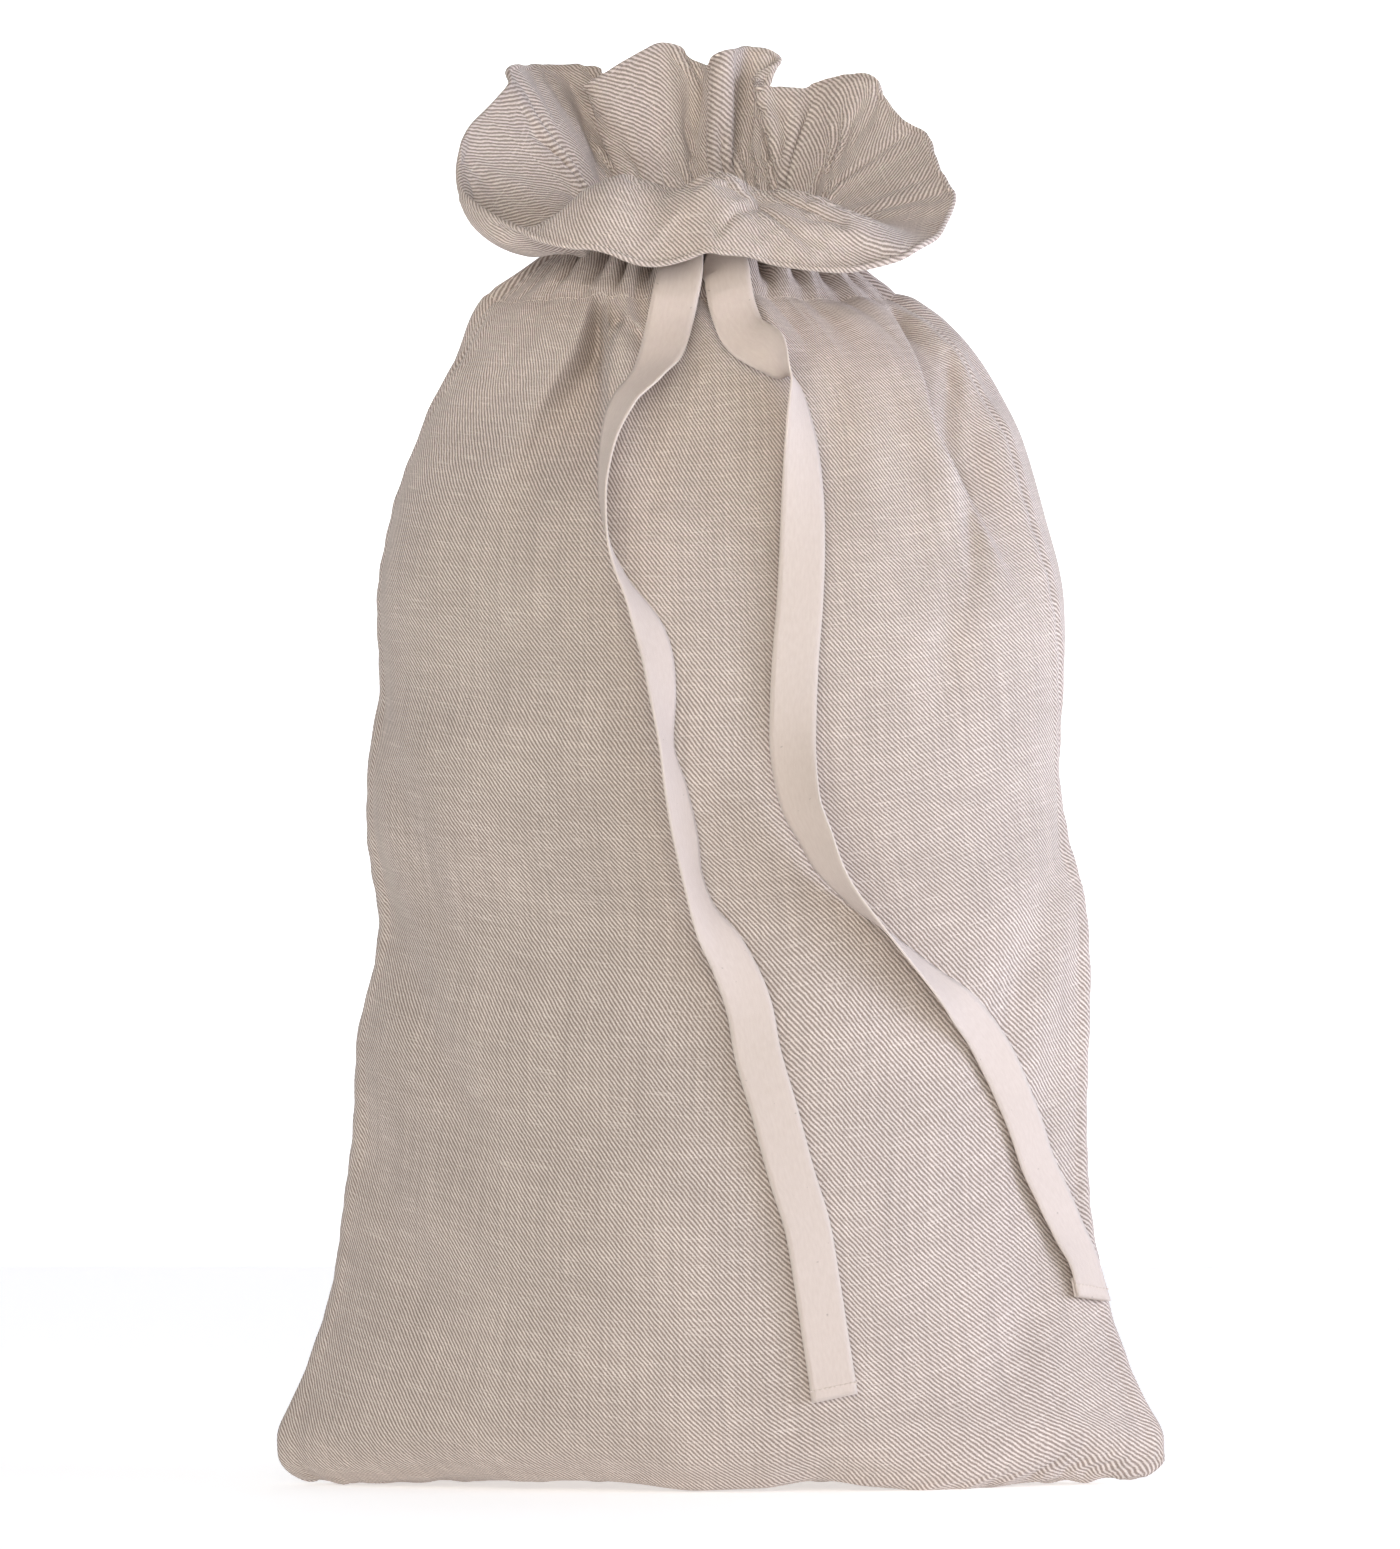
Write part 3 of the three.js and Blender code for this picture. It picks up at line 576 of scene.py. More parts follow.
def pleats():
    """How far the drawstring's gathers stand out of the cloth, in metres, at each point of the ring."""
    rng = np.random.default_rng(4)
    widths = rng.uniform(0.6, 1.4, PLEATS)
    ends = np.concatenate([[0], np.cumsum(widths)]) / widths.sum()
    turn = np.interp(np.arange(2 * HALF) / (2 * HALF), ends, np.arange(PLEATS + 1))
    wave = np.cos(2 * np.pi * turn) - 0.2 * np.cos(4 * np.pi * turn)
    strong = rng.uniform(0.4, 1.3, PLEATS)
    strong[LEFT_GATHERS] *= 0.35
    strong[RIGHT_GATHERS] *= 0.65
    long = rng.uniform(0.03, 0.085, PLEATS)
    nearest = np.round(turn).astype(int) % PLEATS
    strength = blur_ring(strong[nearest], 3)
    reach = blur_ring(long[nearest], 3)
    s = across[:-1]
    strength = strength * (0.35 + 0.65 * smooth(from_seams(s), 0, 0.05))
    front = np.abs(s) < PANEL / 2
    gentle = np.where(front, 0.35, 1.0)[:, None]
    full = np.where(front, 1.75, 1.5)[:, None]
    gentle = gentle + (full - gentle) * smooth(along[None], WALL_FLAT + 0.004, WALL_FLAT + 0.022)
    below = gentle * smooth((along[None] - WALL_FLAT) / reach[:, None], -1, 0.15)
    above = 1 - smooth(along[None], WALL_FLAT + CASING_FLAT, WALL_FLAT + CASING_FLAT + 0.034)
    return GATHER * (wave * strength)[:, None] * below * above

bag = bag + normals(bag) * pleats()[..., None]
print(PLEATS, "gathers round the casing")

# %% [markdown]
# ## Letting the cloth settle
#
# So far the shape is drawn. A cloth simulation now gives it the small creases that real cloth makes. The
# rest shape is the flat cut, rolled into a tube that towards the neck has the full width of the two
# panels. The seams, the neck and the hem are held, and the rest pulls and buckles until it fits.

# %% Cloth simulation
FRAMES = 24
# how firmly the cloth is held where it is free, sewn and hemmed
LOOSE, SEWN, HEMMED = 0.2, 0.9, 0.85
TWILL_CLOTH = {
    "pin_stiffness": 1.0, "quality": 6, "mass": 0.15, "tension_stiffness": 15, "compression_stiffness": 15,
    "shear_stiffness": 5, "bending_stiffness": 0.3, "air_damping": 4,
}

def settle(grid):
    """The ring of cloth after a simulation that starts from the drawn shape."""
    columns, rows = grid.shape[:2]
    place = np.arange(columns * rows).reshape(columns, rows)
    after = np.roll(place, -1, axis=0)
    faces = np.stack([place[:, :-1], after[:, :-1], after[:, 1:], place[:, 1:]], axis=-1).reshape(-1, 4)
    mesh = bpy.data.meshes.new("settling")
    mesh.from_pydata(grid.reshape(-1, 3).tolist(), [], faces.tolist())
    cloth = bpy.data.objects.new("settling", mesh)
    scene.collection.objects.link(cloth)
    cloth.shape_key_add(name="full")
    cut = cloth.shape_key_add(name="cut", from_mix=False)
    around = np.linalg.norm(np.roll(grid, -1, axis=0) - grid, axis=2).sum(axis=0)
    share = smooth(along, WALL_FLAT - 0.20, WALL_FLAT)
    girth = around * (1 - share) + 2 * PANEL * share
    turn = 2 * np.pi * np.arange(columns) / columns
    radius = girth / (2 * np.pi)
    flat = np.stack([
        np.outer(np.sin(turn), radius),
        np.outer(-np.cos(turn), radius),
        np.broadcast_to(along, (columns, rows)),
    ], axis=-1)
    cut.data.foreach_set("co", flat.astype(np.float32).ravel())
    held = cloth.vertex_groups.new(name="held")
    weight = np.full((columns, rows), LOOSE)
    weight[:, WALL_ROWS - 3:WALL_ROWS + CASING_ROWS + 1] = SEWN
    weight[:, -1] = HEMMED
    weight[:, 0] = 1.0
    weight[[0, HALF], :WALL_ROWS] = SEWN
    for value in np.unique(weight):
        held.add(place[weight == value].tolist(), float(value), "REPLACE")
    maker = cloth.modifiers.new("settling", "CLOTH")
    maker.settings.rest_shape_key = cut
    maker.settings.vertex_group_mass = "held"
    for setting, value in TWILL_CLOTH.items():
        setattr(maker.settings, setting, value)
    maker.settings.effector_weights.gravity = 0
    maker.collision_settings.use_collision = False
    maker.collision_settings.use_self_collision = True
    maker.collision_settings.self_distance_min = 1.2 * MM
    maker.point_cache.frame_end = FRAMES
    for frame_number in range(1, FRAMES + 1):
        scene.frame_set(frame_number)
    seen = cloth.evaluated_get(bpy.context.evaluated_depsgraph_get()).data
    points = np.empty(columns * rows * 3, np.float32)
    seen.vertices.foreach_get("co", points)
    scene.frame_set(1)
    bpy.data.objects.remove(cloth)
    return points.reshape(columns, rows, 3).astype(float)

settled = settle(bag)
print("settling moved the cloth by up to", round(np.abs(settled - bag).max() / MM, 1), "mm")
bag = settled

# %% [markdown]
# ## Splitting the cloth into pieces
#
# The bag is built as one ring of cloth, then cut where it is sewn: front and back, and wall and collar.
# The ring's own normals go to each piece, so that the light runs over the cuts without a break. The
# heading is one cloth turned over at the hem, so the map of its inner face runs on from there.

# %% Cut the ring into pieces
CLOTH = 1.2 * MM
TIMES = 2
fine = finer(finer(bag, TIMES, 0, ring=True), TIMES, 1)
fine_across = finer(across, TIMES, 0)
fine_along = finer(along, TIMES, 0)
# height or depth of each kind of relief, and how far from the seam, the bottom or the stitches it reaches
RIDGE, GROOVE, PUCKER = (0.8 * MM, 8 * MM), (2.0 * MM, 1.6 * MM), (0.25 * MM, 13 * MM)
RIPPLE, PULLED_IN = (0.7 * MM, 20 * MM), (0.9 * MM, 1.8 * MM)
RIDGE_EDGE = 1.5 * MM
PUCKER_PITCH, RIPPLE_PITCH = 0.019, 0.023
UNEVEN, UNEVEN_REACH = 0.55 * MM, 9

def relief():
    """Fine relief of sewn cloth, in metres: seams, puckers along them, ripples and soft unevenness."""
    rng = np.random.default_rng(7)
    s = fine_across[:-1, None]
    t = fine_along[None]
    seam = from_seams(s)
    body = 1 - smooth(t, WALL_FLAT - 0.01, WALL_FLAT)
    made = RIDGE[0] * (1 - smooth(seam, RIDGE[1] - RIDGE_EDGE, RIDGE[1] + RIDGE_EDGE)) * body
    upper = 1 - smooth(t, WALL_FLAT - 0.03, WALL_FLAT - 0.004)
    over_foot = smooth(t, 0.03, 0.08)
    made = made - GROOVE[0] * np.exp(-((seam / GROOVE[1]) ** 2)) * upper * over_foot
    pucker = np.sin(2 * np.pi * t / PUCKER_PITCH + 2.0 * np.sin(t * 41) + np.where(s > PANEL / 2, 1.0, 2.5))
    made = made + PUCKER[0] * pucker * np.exp(-((seam / PUCKER[1]) ** 2)) * body * over_foot
    ripple = np.sin(2 * np.pi * s / RIPPLE_PITCH + 2.0 * np.sin(s * 33))
    made = made + RIPPLE[0] * ripple * np.exp(-((t / RIPPLE[1]) ** 2)) * smooth(t, 0, 6 * MM)
    uneven = blur(rng.normal(size=(*made.shape, 1)), UNEVEN_REACH)[..., 0]
    made = made + UNEVEN * uneven / uneven.std() * body * smooth(t, 0, 0.03)
    sewn = np.minimum(np.abs(t - WALL_FLAT), np.abs(t - WALL_FLAT - CASING_FLAT))
    return made - PULLED_IN[0] * np.exp(-((sewn / PULLED_IN[1]) ** 2))

fine = fine + tucks(fine / MM, fine_along[None], fine_across[:-1, None]) * MM
fine = fine + normals(fine) * relief()[..., None]
out = normals(fine)
wrapped = np.concatenate([fine, fine[:1]])
out_wrapped = np.concatenate([out, out[:1]])
COLUMNS = HALF * TIMES
CUT = WALL_ROWS * TIMES
FRILL_START = (WALL_ROWS + CASING_ROWS) * TIMES

def weave_places():
    """Each point's place on the flat cloth: up the frill, the length gone, so that lines keep their pitch."""
    up = np.broadcast_to(fine_along, fine.shape[:2]).copy()
    steps = np.linalg.norm(np.diff(fine[:, FRILL_START:], axis=1), axis=2)
    up[:, FRILL_START + 1:] = fine_along[FRILL_START] + np.cumsum(blur_ring(steps, 8), axis=1)
    up = np.concatenate([up, up[:1]])
    return np.stack([np.broadcast_to(fine_across[:, None], up.shape), up], axis=-1)

weave = weave_places()
# the drawn hem is shorter than the cut; the collar's map is narrowed too, so that its lines keep their pitch
SPREAD = np.linalg.norm(np.diff(wrapped[:, -1], axis=0), axis=1).sum() / (2 * PANEL)
print("hem drawn at", round(SPREAD, 3), "times the cut")

def cut_piece(name, columns, rows, sunk=0.0, thick=CLOTH, spread=1.0):
    """A piece of the ring as a closed sheet, as far inside the ring's outer face as sunk says."""
    flat = weave[columns, rows] * np.array([spread, 1.0])
    folded = flat.copy()
    folded[..., 1] = 2 * weave[columns, -1:, 1] - folded[..., 1]
    way = out_wrapped[columns, rows]
    return sheet(name, wrapped[columns, rows] - way * sunk, -way, flat, thick, way, folded)

halves = {"front": slice(0, COLUMNS + 1), "back": slice(COLUMNS, 2 * COLUMNS + 1)}
walls = {side: cut_piece(f"{side}_wall_cloth", c, slice(0, CUT + 1)) for side, c in halves.items()}
collars = {
    side: cut_piece(f"{side}_collar_cloth", c, slice(CUT, None), spread=SPREAD)
    for side, c in halves.items()
}

# %% [markdown]
# ## Inside the casing
#
# The casing is a channel: a strip of the same cloth, sewn inside the bag along its two edges, with the
# tape between. The strip and the tape take the ring's own shape, moved in by the layers that lie over
# them.

# %% Lining and tape of the casing
# rows that the tape keeps from the casing's stitches, and columns from the buttonhole's middle
RUN_MARGIN = 3
MOUTH = 10
LAYER_GAP = 0.2 * MM

casing_rows = slice(CUT, FRILL_START + 1)
run_rows = slice(CUT + RUN_MARGIN, FRILL_START + 1 - RUN_MARGIN)
run_columns = {
    "front_left": slice(0, COLUMNS // 2 - MOUTH),
    "front_right": slice(COLUMNS // 2 + MOUTH, COLUMNS + 1),
    "back": halves["back"],
}
linings = {
    side: cut_piece(f"{side}_casing_lining_cloth", c, casing_rows, CLOTH + TAPE_THICK + 2 * LAYER_GAP)
    for side, c in halves.items()
}
runs = {
    side: cut_piece(f"{side}_drawstring_run_tape", c, run_rows, CLOTH + LAYER_GAP, TAPE_THICK)
    for side, c in run_columns.items()
}

# %% [markdown]
# ## Seam allowances
#
# Inside each seam the two panels' edges lie together, 10 mm wide. Each allowance is a thin strip from the
# seam inwards. It is seen only through the open mouth, so a plain strip without creases will do.

# %% Allowances
ALLOWANCE = 10 * MM
ALLOWANCE_STEPS = 6
SEAM_ENDS, BOTTOM_ENDS = slice(22, CUT - 6), slice(8, COLUMNS - 7)

def allowance(name, line, inward, places):
    """A strip of two layers of cloth from a seam's line inwards."""
    share = np.linspace(0.35, 1, ALLOWANCE_STEPS)
    grid = line[:, None] + (inward * ALLOWANCE)[:, None] * share[None, :, None]
    way = np.cross(np.gradient(line, axis=0), inward)
    way /= np.linalg.norm(way, axis=1, keepdims=True)
    way = np.repeat(way[:, None], ALLOWANCE_STEPS, axis=1)
    flat = np.stack(np.meshgrid(places, share * ALLOWANCE, indexing="ij"), axis=-1)
    return sheet(name, grid - way * CLOTH, way, flat, 2 * CLOTH)

def side_line(column):
    """A side seam's line below the casing, and the way in from it."""
    line = wrapped[column, SEAM_ENDS].copy()
    inward = np.zeros_like(line)
    inward[:, 0] = -np.sign(line[:, 0])
    return line, inward

left_line, left_in = side_line(0)
right_line, right_in = side_line(COLUMNS)
bottom_line = wrapped[BOTTOM_ENDS, 0] + np.array([0, 0, CLOTH * 1.5])
bottom_in = np.tile([0, 0, 1.0], (len(bottom_line), 1))
allowances = {
    "left": allowance("left_seam_allowance_cloth", left_line, left_in, fine_along[SEAM_ENDS]),
    "right": allowance(
        "right_seam_allowance_cloth", right_line[::-1], right_in[::-1], fine_along[SEAM_ENDS][::-1]
    ),
    "bottom": allowance("bottom_seam_allowance_cloth", bottom_line, bottom_in, fine_across[BOTTOM_ENDS]),
}

# %% [markdown]
# ## The rolled hem
#
# The frill's edge is rolled and ends in a narrow band that is thicker than the cloth. A bevel would be
# even all round, so the band is a small drawn section carried along the hem. It is the same cloth,
# turned over, and the lines of the twill run round it from one face to the other.

# %% Rolled hem
HEM_WIDTH = 1.7 * MM
HEM_SECTION = [
    # how far past the edge, and how far in from the outer face, in millimetres
    (-1.7, 1.1), (-1.55, 1.7), (-0.8, 2.15), (0.2, 2.0), (0.75, 1.2), (0.8, 0.4), (0.4, -0.4),
    (-0.6, -0.75), (-2.4, -0.75), (-3.0, -0.3), (-2.9, 0.2),
]

def hem(name, columns):
    """The band along the hem of the front or the back."""
    edge = wrapped[columns, -1]
    up = edge - wrapped[columns, -4]
    up /= np.linalg.norm(up, axis=1, keepdims=True)
    inward = -out_wrapped[columns, -1]
    section = np.array(HEM_SECTION) * MM
    loops = edge[:, None] + up[:, None] * section[None, :, :1] + inward[:, None] * section[None, :, 1:]
    around = weave[columns, -1, 1][:, None] + (HEM_WIDTH - distances(section))[None]
    flat = np.stack([np.broadcast_to(weave[columns, -1, :1] * SPREAD, around.shape), around], axis=-1)
    return tube(name, loops, flat)

def tube(name, loops, flat):
    """A closed mesh from a row of closed sections, with its ends filled."""
    place = np.arange(loops[..., 0].size).reshape(loops.shape[:2])
    after = np.roll(place, -1, axis=1)
    faces = np.stack([place[:-1], after[:-1], after[1:], place[1:]], axis=-1).reshape(-1, 4).tolist()
    faces += [place[0, ::-1].tolist(), place[-1].tolist()]
    return built(name, loops.reshape(-1, 3), faces, flat.reshape(-1, 2))

hems = {side: hem(f"{side}_frill_hem_cloth", c) for side, c in halves.items()}

# %% [markdown]
# ## The twill
#
# The bag's cloth is a linen twill: cream lines that climb over a taupe ground at a slant, with pale slubs
# along the weft and a few dark specks. All of it is worked out from the flat cloth's own map, in metres,
# so the lines bend with the folds. The same lines give the bump.

# %% Node tools
class Paint:
    """A material's nodes, with a short call for each kind that the finishes here need."""

    def __init__(self, name, rough, sheen):
        self.material = bpy.data.materials.new(name)
        self.material.use_nodes = True
        self.tree = self.material.node_tree
        self.shader = self.tree.nodes["Principled BSDF"]
        self.shader.inputs["Roughness"].default_value = rough
        self.shader.inputs["Specular IOR Level"].default_value = 0.25
        self.shader.inputs["Sheen Weight"].default_value = sheen
        self.shader.inputs["Sheen Roughness"].default_value = 0.5

    def put(self, socket, value):
        """Link a socket to a node's output, or set it."""
        if isinstance(value, bpy.types.NodeSocket):
            self.tree.links.new(value, socket)
        else:
            socket.default_value = value

    def sum(self, operation, a, b=0.0, clamp=False):
        """A Math node."""
        node = self.tree.nodes.new("ShaderNodeMath")
        node.operation = operation
        node.use_clamp = clamp
        self.put(node.inputs[0], a)
        self.put(node.inputs[1], b)
        return node.outputs[0]

    def place(self, name):
        """The two coordinates of a UV map."""
        node = self.tree.nodes.new("ShaderNodeUVMap")
        node.uv_map = name
        parts = self.tree.nodes.new("ShaderNodeSeparateXYZ")
        self.tree.links.new(node.outputs[0], parts.inputs[0])
        return parts.outputs[0], parts.outputs[1]

    def noise(self, x, y, x_scale, y_scale, detail=2.0):
        """Noise from 0 to 1 on two coordinates, with so many cells per metre along each."""
        node = self.tree.nodes.new("ShaderNodeTexNoise")
        node.noise_dimensions = "2D"
        node.inputs["Scale"].default_value = 1.0
        node.inputs["Detail"].default_value = detail
        both = self.tree.nodes.new("ShaderNodeCombineXYZ")
        self.put(both.inputs[0], self.sum("MULTIPLY", x, x_scale))
        self.put(both.inputs[1], self.sum("MULTIPLY", y, y_scale))
        self.tree.links.new(both.outputs[0], node.inputs["Vector"])
        return node.outputs[0]

    def ramp(self, value, low, high, to_low=0.0, to_high=1.0):
        """A smooth step from one value to another."""
        node = self.tree.nodes.new("ShaderNodeMapRange")
        node.interpolation_type = "SMOOTHSTEP"
        for name, x in zip(("From Min", "From Max", "To Min", "To Max"), (low, high, to_low, to_high)):
            node.inputs[name].default_value = x
        self.put(node.inputs["Value"], value)
        return node.outputs[0]

    def mix(self, share, a, b, kind="MIX"):
        """A colour mix."""
        node = self.tree.nodes.new("ShaderNodeMix")
        node.data_type = "RGBA"
        node.blend_type = kind
        self.put(node.inputs["Factor"], share)
        colours = [i for i in node.inputs if i.type == "RGBA"]
        for socket, colour in zip(colours, (a, b)):
            self.put(socket, (*colour, 1.0) if isinstance(colour, tuple) else colour)
        return next(o for o in node.outputs if o.type == "RGBA")

    def finish(self, colour, height, deep):
        """Link the colour and a bump of so many metres."""
        self.put(self.shader.inputs["Base Color"], colour)
        bump = self.tree.nodes.new("ShaderNodeBump")
        bump.inputs["Distance"].default_value = deep
        bump.inputs["Strength"].default_value = 0.8
        self.put(bump.inputs["Height"], height)
        self.tree.links.new(bump.outputs[0], self.shader.inputs["Normal"])
        return self.material

print("node tools ready")

# %% [markdown]
# With these tools the twill is a sum of waves and noise on the map: a sine across the slant makes the
# lines, noise frays them, and noise stretched along the weft makes the slubs.

# %% Twill
TWILL_PITCH = 1.58 * MM
TWILL_SLANT = math.radians(48)
TAUPE = (0.300, 0.240, 0.208)
CREAM = (0.740, 0.650, 0.595)
FULL_TURN = 2 * math.pi

def twill_cloth():
    """Cream lines on taupe, with slubs and specks."""
    paint = Paint("twill", 0.88, 0.15)
    s, t = paint.place("flat")
    wander = paint.sum("MULTIPLY", paint.noise(s, t, 160, 160), 0.55)
    slant_s = paint.sum("MULTIPLY", s, math.sin(TWILL_SLANT) / TWILL_PITCH)
    slant_t = paint.sum("MULTIPLY", t, math.cos(TWILL_SLANT) / TWILL_PITCH)
    phase = paint.sum("ADD", paint.sum("ADD", slant_s, slant_t), wander)
    wave = paint.sum("SINE", paint.sum("MULTIPLY", phase, FULL_TURN))
    yarn = paint.noise(s, t, 1900, 1500, 1.0)
    ragged = paint.sum("ADD", wave, paint.sum("MULTIPLY", paint.sum("SUBTRACT", yarn, 0.5), 1.5))
    line = paint.ramp(ragged, -0.75, 0.95)
    slub = paint.ramp(paint.noise(s, t, 55, 1250, 3.0), 0.58, 0.74)
    thin = paint.ramp(paint.noise(s, t, 28, 420, 2.0), 0.60, 0.42, 0.0, 0.14)
    cream = paint.sum("ADD", line, paint.sum("MULTIPLY", slub, 0.30), clamp=True)
    cream = paint.sum("SUBTRACT", cream, paint.sum("MULTIPLY", thin, line), clamp=True)
    colour = paint.mix(cream, TAUPE, CREAM)
    cloudy = paint.ramp(paint.noise(s, t, 22, 30, 3.0), 0.25, 0.75, 0.96, 1.04)
    warp = paint.ramp(paint.noise(s, t, 700, 14, 2.0), 0.25, 0.75, 0.94, 1.05)
    speck = paint.ramp(paint.noise(s, t, 420, 700, 1.0), 0.80, 0.86, 1.0, 0.62)
    shade = paint.sum("MULTIPLY", paint.sum("MULTIPLY", cloudy, warp), speck)
    grey = paint.tree.nodes.new("ShaderNodeCombineColor")
    for socket in grey.inputs:
        paint.put(socket, shade)
    colour = paint.mix(1.0, colour, grey.outputs[0], "MULTIPLY")
    height = paint.sum("ADD", cream, paint.sum("MULTIPLY", yarn, 0.4))
    return paint.finish(colour, height, 0.25 * MM)

twill = twill_cloth()
print("twill lines", TWILL_PITCH / MM, "mm apart")

# %% [markdown]
# ## Tape and thread
#
# The tape is a close plain weave in unbleached cotton, with a firm edge on each side. Two crossed sine
# waves make its yarns. The thread is cream cotton, too thin to show more than its fibres, so noise will do.

# %% Tape and thread
TAPE_YARN = 0.62 * MM
FIRM_EDGE = 0.0085, 0.0096
DULL_CREAM = (0.56, 0.47, 0.41)
PEACH = (0.640, 0.540, 0.480)
PALE_PEACH = (0.735, 0.640, 0.580)

def cotton_tape():
    """A fine plain weave with firm edges."""
    paint = Paint("cotton tape", 0.9, 0.2)
    s, t = paint.place("flat")
    warp = paint.sum("SINE", paint.sum("MULTIPLY", s, FULL_TURN / TAPE_YARN))
    weft = paint.sum("SINE", paint.sum("MULTIPLY", t, FULL_TURN / TAPE_YARN))
    weave = paint.sum("MULTIPLY", warp, weft)
    soft = paint.noise(s, t, 900, 260, 3.0)
    share = paint.ramp(paint.sum("ADD", weave, paint.sum("MULTIPLY", soft, 2.0)), -0.6, 2.4)
    edge = paint.ramp(paint.sum("ABSOLUTE", s), *FIRM_EDGE, 0.0, 0.7)
    share = paint.sum("ADD", share, edge, clamp=True)
    colour = paint.mix(share, PEACH, PALE_PEACH)
    speck = paint.ramp(paint.noise(s, t, 300, 330, 1.0), 0.82, 0.88, 0.0, 0.5)
    colour = paint.mix(speck, colour, TAUPE)
    return paint.finish(colour, paint.sum("ADD", weave, edge), 0.12 * MM)

def cream_thread():
    """Twisted cotton thread, on the object's own coordinates."""
    paint = Paint("thread", 0.8, 0.1)
    where = paint.tree.nodes.new("ShaderNodeTexCoord")
    parts = paint.tree.nodes.new("ShaderNodeSeparateXYZ")
    paint.tree.links.new(where.outputs["Object"], parts.inputs[0])
    fibre = paint.noise(parts.outputs[0], parts.outputs[2], 2600, 2600, 2.0)
    colour = paint.mix(fibre, DULL_CREAM, CREAM)
    return paint.finish(colour, fibre, 0.1 * MM)

cotton = cotton_tape()
thread = cream_thread()
cloths = [*walls.values(), *collars.values(), *linings.values(), *allowances.values(), *hems.values()]
tapes = [left_tail, right_tail, left_hem, right_hem, *runs.values()]
for made in cloths:
    made.data.materials.append(twill)
for made in tapes:
    made.data.materials.append(cotton)
print(len(cloths), "cloth pieces,", len(tapes), "tape pieces")

# %% [markdown]
# ## Stitches
#
# A row of stitches repeats one small shape along a line, which is what Geometry Nodes do well. The tree
# turns a line of edges into a curve, sets points along it a stitch apart, and puts a small spindle on
# each.

# %% Stitch tree
STITCH_PITCH = 3.0 * MM
STITCH_LENGTH = 2.3 * MM
STITCH_THICK = 0.75 * MM

def stitch_tree():
    """Spindles along every line of a mesh, and the identifiers of the tree's inputs by name."""
    tree = bpy.data.node_groups.new("stitches", "GeometryNodeTree")
    face = tree.interface
    face.new_socket("Geometry", in_out="INPUT", socket_type="NodeSocketGeometry")
    sockets = {}
    kinds = {"Pitch": "Float", "Length": "Float", "Thickness": "Float", "Material": "Material"}
    for name, kind in kinds.items():
        socket = face.new_socket(name, in_out="INPUT", socket_type=f"NodeSocket{kind}")
        sockets[name] = socket.identifier
    face.new_socket("Geometry", in_out="OUTPUT", socket_type="NodeSocketGeometry")
    new = tree.nodes.new
    given, result = new("NodeGroupInput"), new("NodeGroupOutput")
    line, dots = new("GeometryNodeMeshToCurve"), new("GeometryNodeCurveToPoints")
    ball, size = new("GeometryNodeMeshUVSphere"), new("ShaderNodeCombineXYZ")
    spindle, copies = new("GeometryNodeTransform"), new("GeometryNodeInstanceOnPoints")
    real, soft = new("GeometryNodeRealizeInstances"), new("GeometryNodeSetShadeSmooth")
    dress = new("GeometryNodeSetMaterial")
    dots.mode = "LENGTH"
    for name, value in (("Segments", 6), ("Rings", 5), ("Radius", 0.5)):
        ball.inputs[name].default_value = value
    for a, leaves, b, enters in (
        (given, "Geometry", line, "Mesh"), (line, "Curve", dots, "Curve"), (given, "Pitch", dots, "Length"),
        (given, "Thickness", size, "X"), (given, "Thickness", size, "Y"), (given, "Length", size, "Z"),
        (ball, "Mesh", spindle, "Geometry"), (size, "Vector", spindle, "Scale"),
        (dots, "Points", copies, "Points"), (dots, "Rotation", copies, "Rotation"),
        (spindle, "Geometry", copies, "Instance"), (copies, "Instances", real, "Geometry"),
        (real, "Geometry", soft, "Geometry"), (soft, "Geometry", dress, "Geometry"),
        (given, "Material", dress, "Material"), (dress, "Geometry", result, "Geometry"),
    ):
        tree.links.new(a.outputs[leaves], b.inputs[enters])
    return tree, sockets

STITCHES, STITCH_SOCKETS = stitch_tree()

def stitched(name, lines, pitch=STITCH_PITCH):
    """Stitches along each of some lines of points, as a plain mesh."""
    points = np.concatenate(lines)
    ends = np.cumsum([len(line) for line in lines])
    edges = [(i, i + 1) for i in range(len(points) - 1) if i + 1 not in ends]
    mesh = bpy.data.meshes.new(name)
    mesh.from_pydata(points.tolist(), edges, [])
    drawn = bpy.data.objects.new(f"{name}_lines", mesh)
    scene.collection.objects.link(drawn)
    maker = drawn.modifiers.new("stitches", "NODES")
    maker.node_group = STITCHES
    long = pitch * STITCH_LENGTH / STITCH_PITCH
    values = {"Pitch": pitch, "Length": long, "Thickness": STITCH_THICK, "Material": thread}
    for key, value in values.items():
        maker[STITCH_SOCKETS[key]] = value
    seen = drawn.evaluated_get(bpy.context.evaluated_depsgraph_get())
    made = bpy.data.objects.new(name, bpy.data.meshes.new_from_object(seen))
    bpy.data.objects.remove(drawn)
    scene.collection.objects.link(made)
    print(name, len(made.data.polygons), "faces")
    return made

print("stitch tree of", len(STITCHES.nodes), "nodes")

# %% [markdown]
# The casing has two rows all round, at its lower and upper edges, the seams have theirs inside the bag,
# and each tail's turned end has one across. The rows that show are bedded a little into the cloth, as
# thread pulls itself in.

# %% Rows of stitches
BEDDED = -0.1 * MM
SEAM_INSET = 1.5 * MM
TAIL_PITCH = 2.2 * MM

def casing_line(columns, row):
    """A line along a row of the ring, bedded a little into the cloth's outer face."""
    return wrapped[columns, row] + out_wrapped[columns, row] * BEDDED

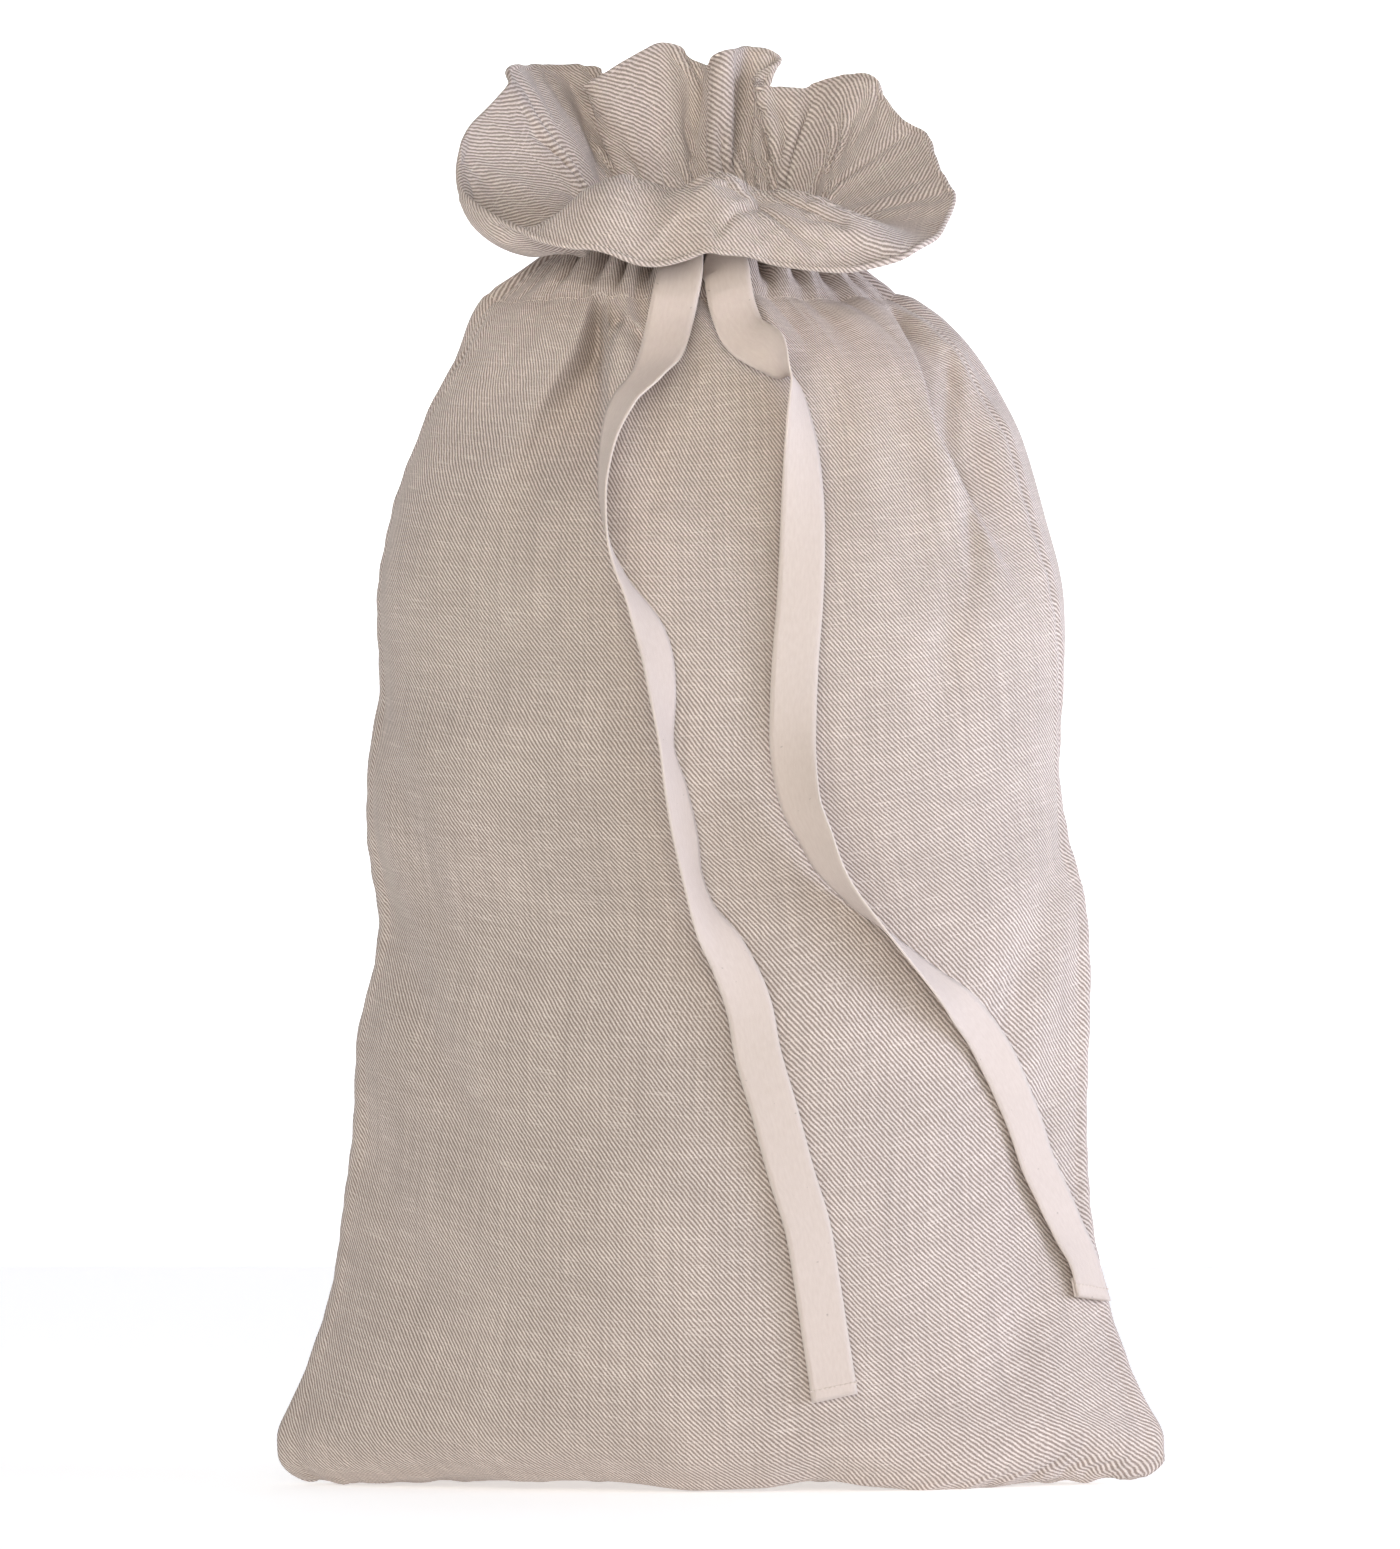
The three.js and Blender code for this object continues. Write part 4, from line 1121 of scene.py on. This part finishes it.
casing_stitches = {
    side: stitched(f"{side}_casing_stitches", [casing_line(c, CUT), casing_line(c, FRILL_START)])
    for side, c in halves.items()
}
seam_lines = [
    left_line + left_in * SEAM_INSET, right_line + right_in * SEAM_INSET, bottom_line + bottom_in * MM
]
seam_stitches = stitched("seam_stitches", seam_lines)
left_stitches = stitched("left_tail_stitches", [left_sewn], TAIL_PITCH)
right_stitches = stitched("right_tail_stitches", [right_sewn], TAIL_PITCH)

# %% [markdown]
# ## Floor and light
#
# The floor is a pale sheet that runs far back and then curves up, so no line shows where it ends and a
# camera can go all round the bag. It glows a little, and more far behind, as a white sweep under studio
# lamps does. Three soft lights stand at the right, one of them a little behind the bag to brighten its
# edge, and one stands by the camera. A weak one at the left front has a grid, so that it reaches only the
# frill. White surroundings fill the shade.

# %% Floor
FLOOR_HALF = 10
FLOOR_GLOW, BACKDROP_GLOW = 0.45, 0.75
floor = bpy.data.meshes.new("floor")
profile = [(-10, 0), (2, 0), (8.4, 0), (9.0, 0.1), (9.4, 0.4), (9.6, 0.9), (9.6, 8)]
points = [(x, y, z) for y, z in profile for x in (-FLOOR_HALF, FLOOR_HALF)]
faces = [(2 * i, 2 * i + 1, 2 * i + 3, 2 * i + 2) for i in range(len(profile) - 1)]
floor.from_pydata(points, [], faces)
floor.polygons.foreach_set("use_smooth", [True] * len(faces))
backdrop = bpy.data.objects.new("floor", floor)
scene.collection.objects.link(backdrop)
for name, glow in (("pale floor", FLOOR_GLOW), ("pale backdrop", BACKDROP_GLOW)):
    pale = bpy.data.materials.new(name)
    pale.use_nodes = True
    shader = pale.node_tree.nodes["Principled BSDF"]
    shader.inputs["Base Color"].default_value = (0.93, 0.93, 0.93, 1)
    shader.inputs["Roughness"].default_value = 0.9
    shader.inputs["Emission Color"].default_value = (1, 1, 1, 1)
    shader.inputs["Emission Strength"].default_value = glow
    floor.materials.append(pale)
floor.polygons.foreach_set("material_index", [0] + [1] * (len(faces) - 1))
backdrop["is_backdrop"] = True
print("floor of", len(faces), "faces")

# %% Lights
def area_light(name, place, target, size, power, colour, height=None, spread=180):
    """A soft light that faces a point, square or as high as given, with a grid where its spread is small."""
    data = bpy.data.lights.new(name, "AREA")
    data.shape = "RECTANGLE"
    data.size = size
    data.size_y = height or size
    data.energy = power
    data.color = colour
    data.spread = math.radians(spread)
    made = bpy.data.objects.new(name, data)
    made.location = place
    made.rotation_euler = (Vector(target) - Vector(place)).to_track_quat("-Z", "Y").to_euler()
    scene.collection.objects.link(made)
    return made

area_light("key", (3.4, -0.7, 0.15), (0, 0, 0.25), 1.5, 88, (0.94, 1.0, 1.24))
area_light("rim", (2.8, 1.5, 0.3), (0.15, 0, 0.25), 1.2, 32, (0.97, 1.0, 1.12))
area_light("side", (3.0, -1.7, 0.3), (0, 0, 0.3), 1.8, 27, (0.95, 1.0, 1.15))
area_light("front", (-0.4, -3.6, 1.2), (0, 0, 0.5), 2.4, 49, (1.13, 1.06, 0.90), 1.2)
area_light("high", (-1.3, -2.2, 1.7), (0, 0, 0.6), 0.3, 0.09, (1.05, 1.0, 0.94), spread=10)
world = bpy.data.worlds.new("studio")
world.use_nodes = True
world.node_tree.nodes["Background"].inputs["Color"].default_value = (1.0, 1.0, 1.06, 1)
world.node_tree.nodes["Background"].inputs["Strength"].default_value = 0.33
scene.world = world
scene.view_settings.view_transform = "Standard"
print(len(bpy.data.lights), "lights and a white world")

# %% [markdown]
# ## Bodies, and the frame's nodes that the cloth stands for
#
# When the mouth opens, the front and back of the collar slide apart, and the cloth between them and the
# bag stretches over. So the walls and collars blend from the bag to a collar: the side seams stay, and
# the middle goes all the way.

# %% Ride on the frame
for side, sign in (("front", -1), ("back", 1)):
    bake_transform(walls[side])
    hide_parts(f"{side}_panel")
    stands_for = {
        collars[side]: ("twill", f"{side}_casing", f"{side}_frill"),
        hems[side]: ("hem", f"{side}_frill_hem"),
        linings[side]: ("twill", f"{side}_casing_lining"),
        casing_stitches[side]: ("thread", f"{side}_lower_stitch", f"{side}_upper_stitch"),
    }
    for part, tape_run in runs.items():
        if part.startswith(side):
            stands_for[tape_run] = ("tape", f"{part}_drawstring_run")
    for made, (finish, *nodes) in stands_for.items():
        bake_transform(made)
        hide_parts(*nodes)
for side, made in allowances.items():
    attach(made, "bag")
    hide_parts(f"{side}_seam_allowance")
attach(seam_stitches, "bag")
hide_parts("left_seam_stitch", "right_seam_stitch", "bottom_seam_stitch")
tails = {
    "left": (left_tail, left_hem, left_stitches, left_path, left_length),
    "right": (right_tail, right_hem, right_stitches, right_path, right_length),
}
TAIL_NODES = (("tail", "tape"), ("tail_hem", "tape"), ("tail_stitch", "thread"))
for side, made_for in tails.items():
    for made, (node, finish) in zip(made_for, TAIL_NODES):
        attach(made, f"{side}_tail")
        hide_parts(f"{side}_{node}")

# %% [markdown]
# ## Cords and sheets
#
# A tail keeps its length and a panel its cut size, whatever shape they hang in.

# %% [markdown]
# ## Sizes
#
# Cloth may stand a little proud of the solids that it hides. The box of everything shown but the floor is
# printed here.

# %% Sizes and finish
low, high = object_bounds()
print("box in metres:", [round(v, 3) for v in (*low, *high)])
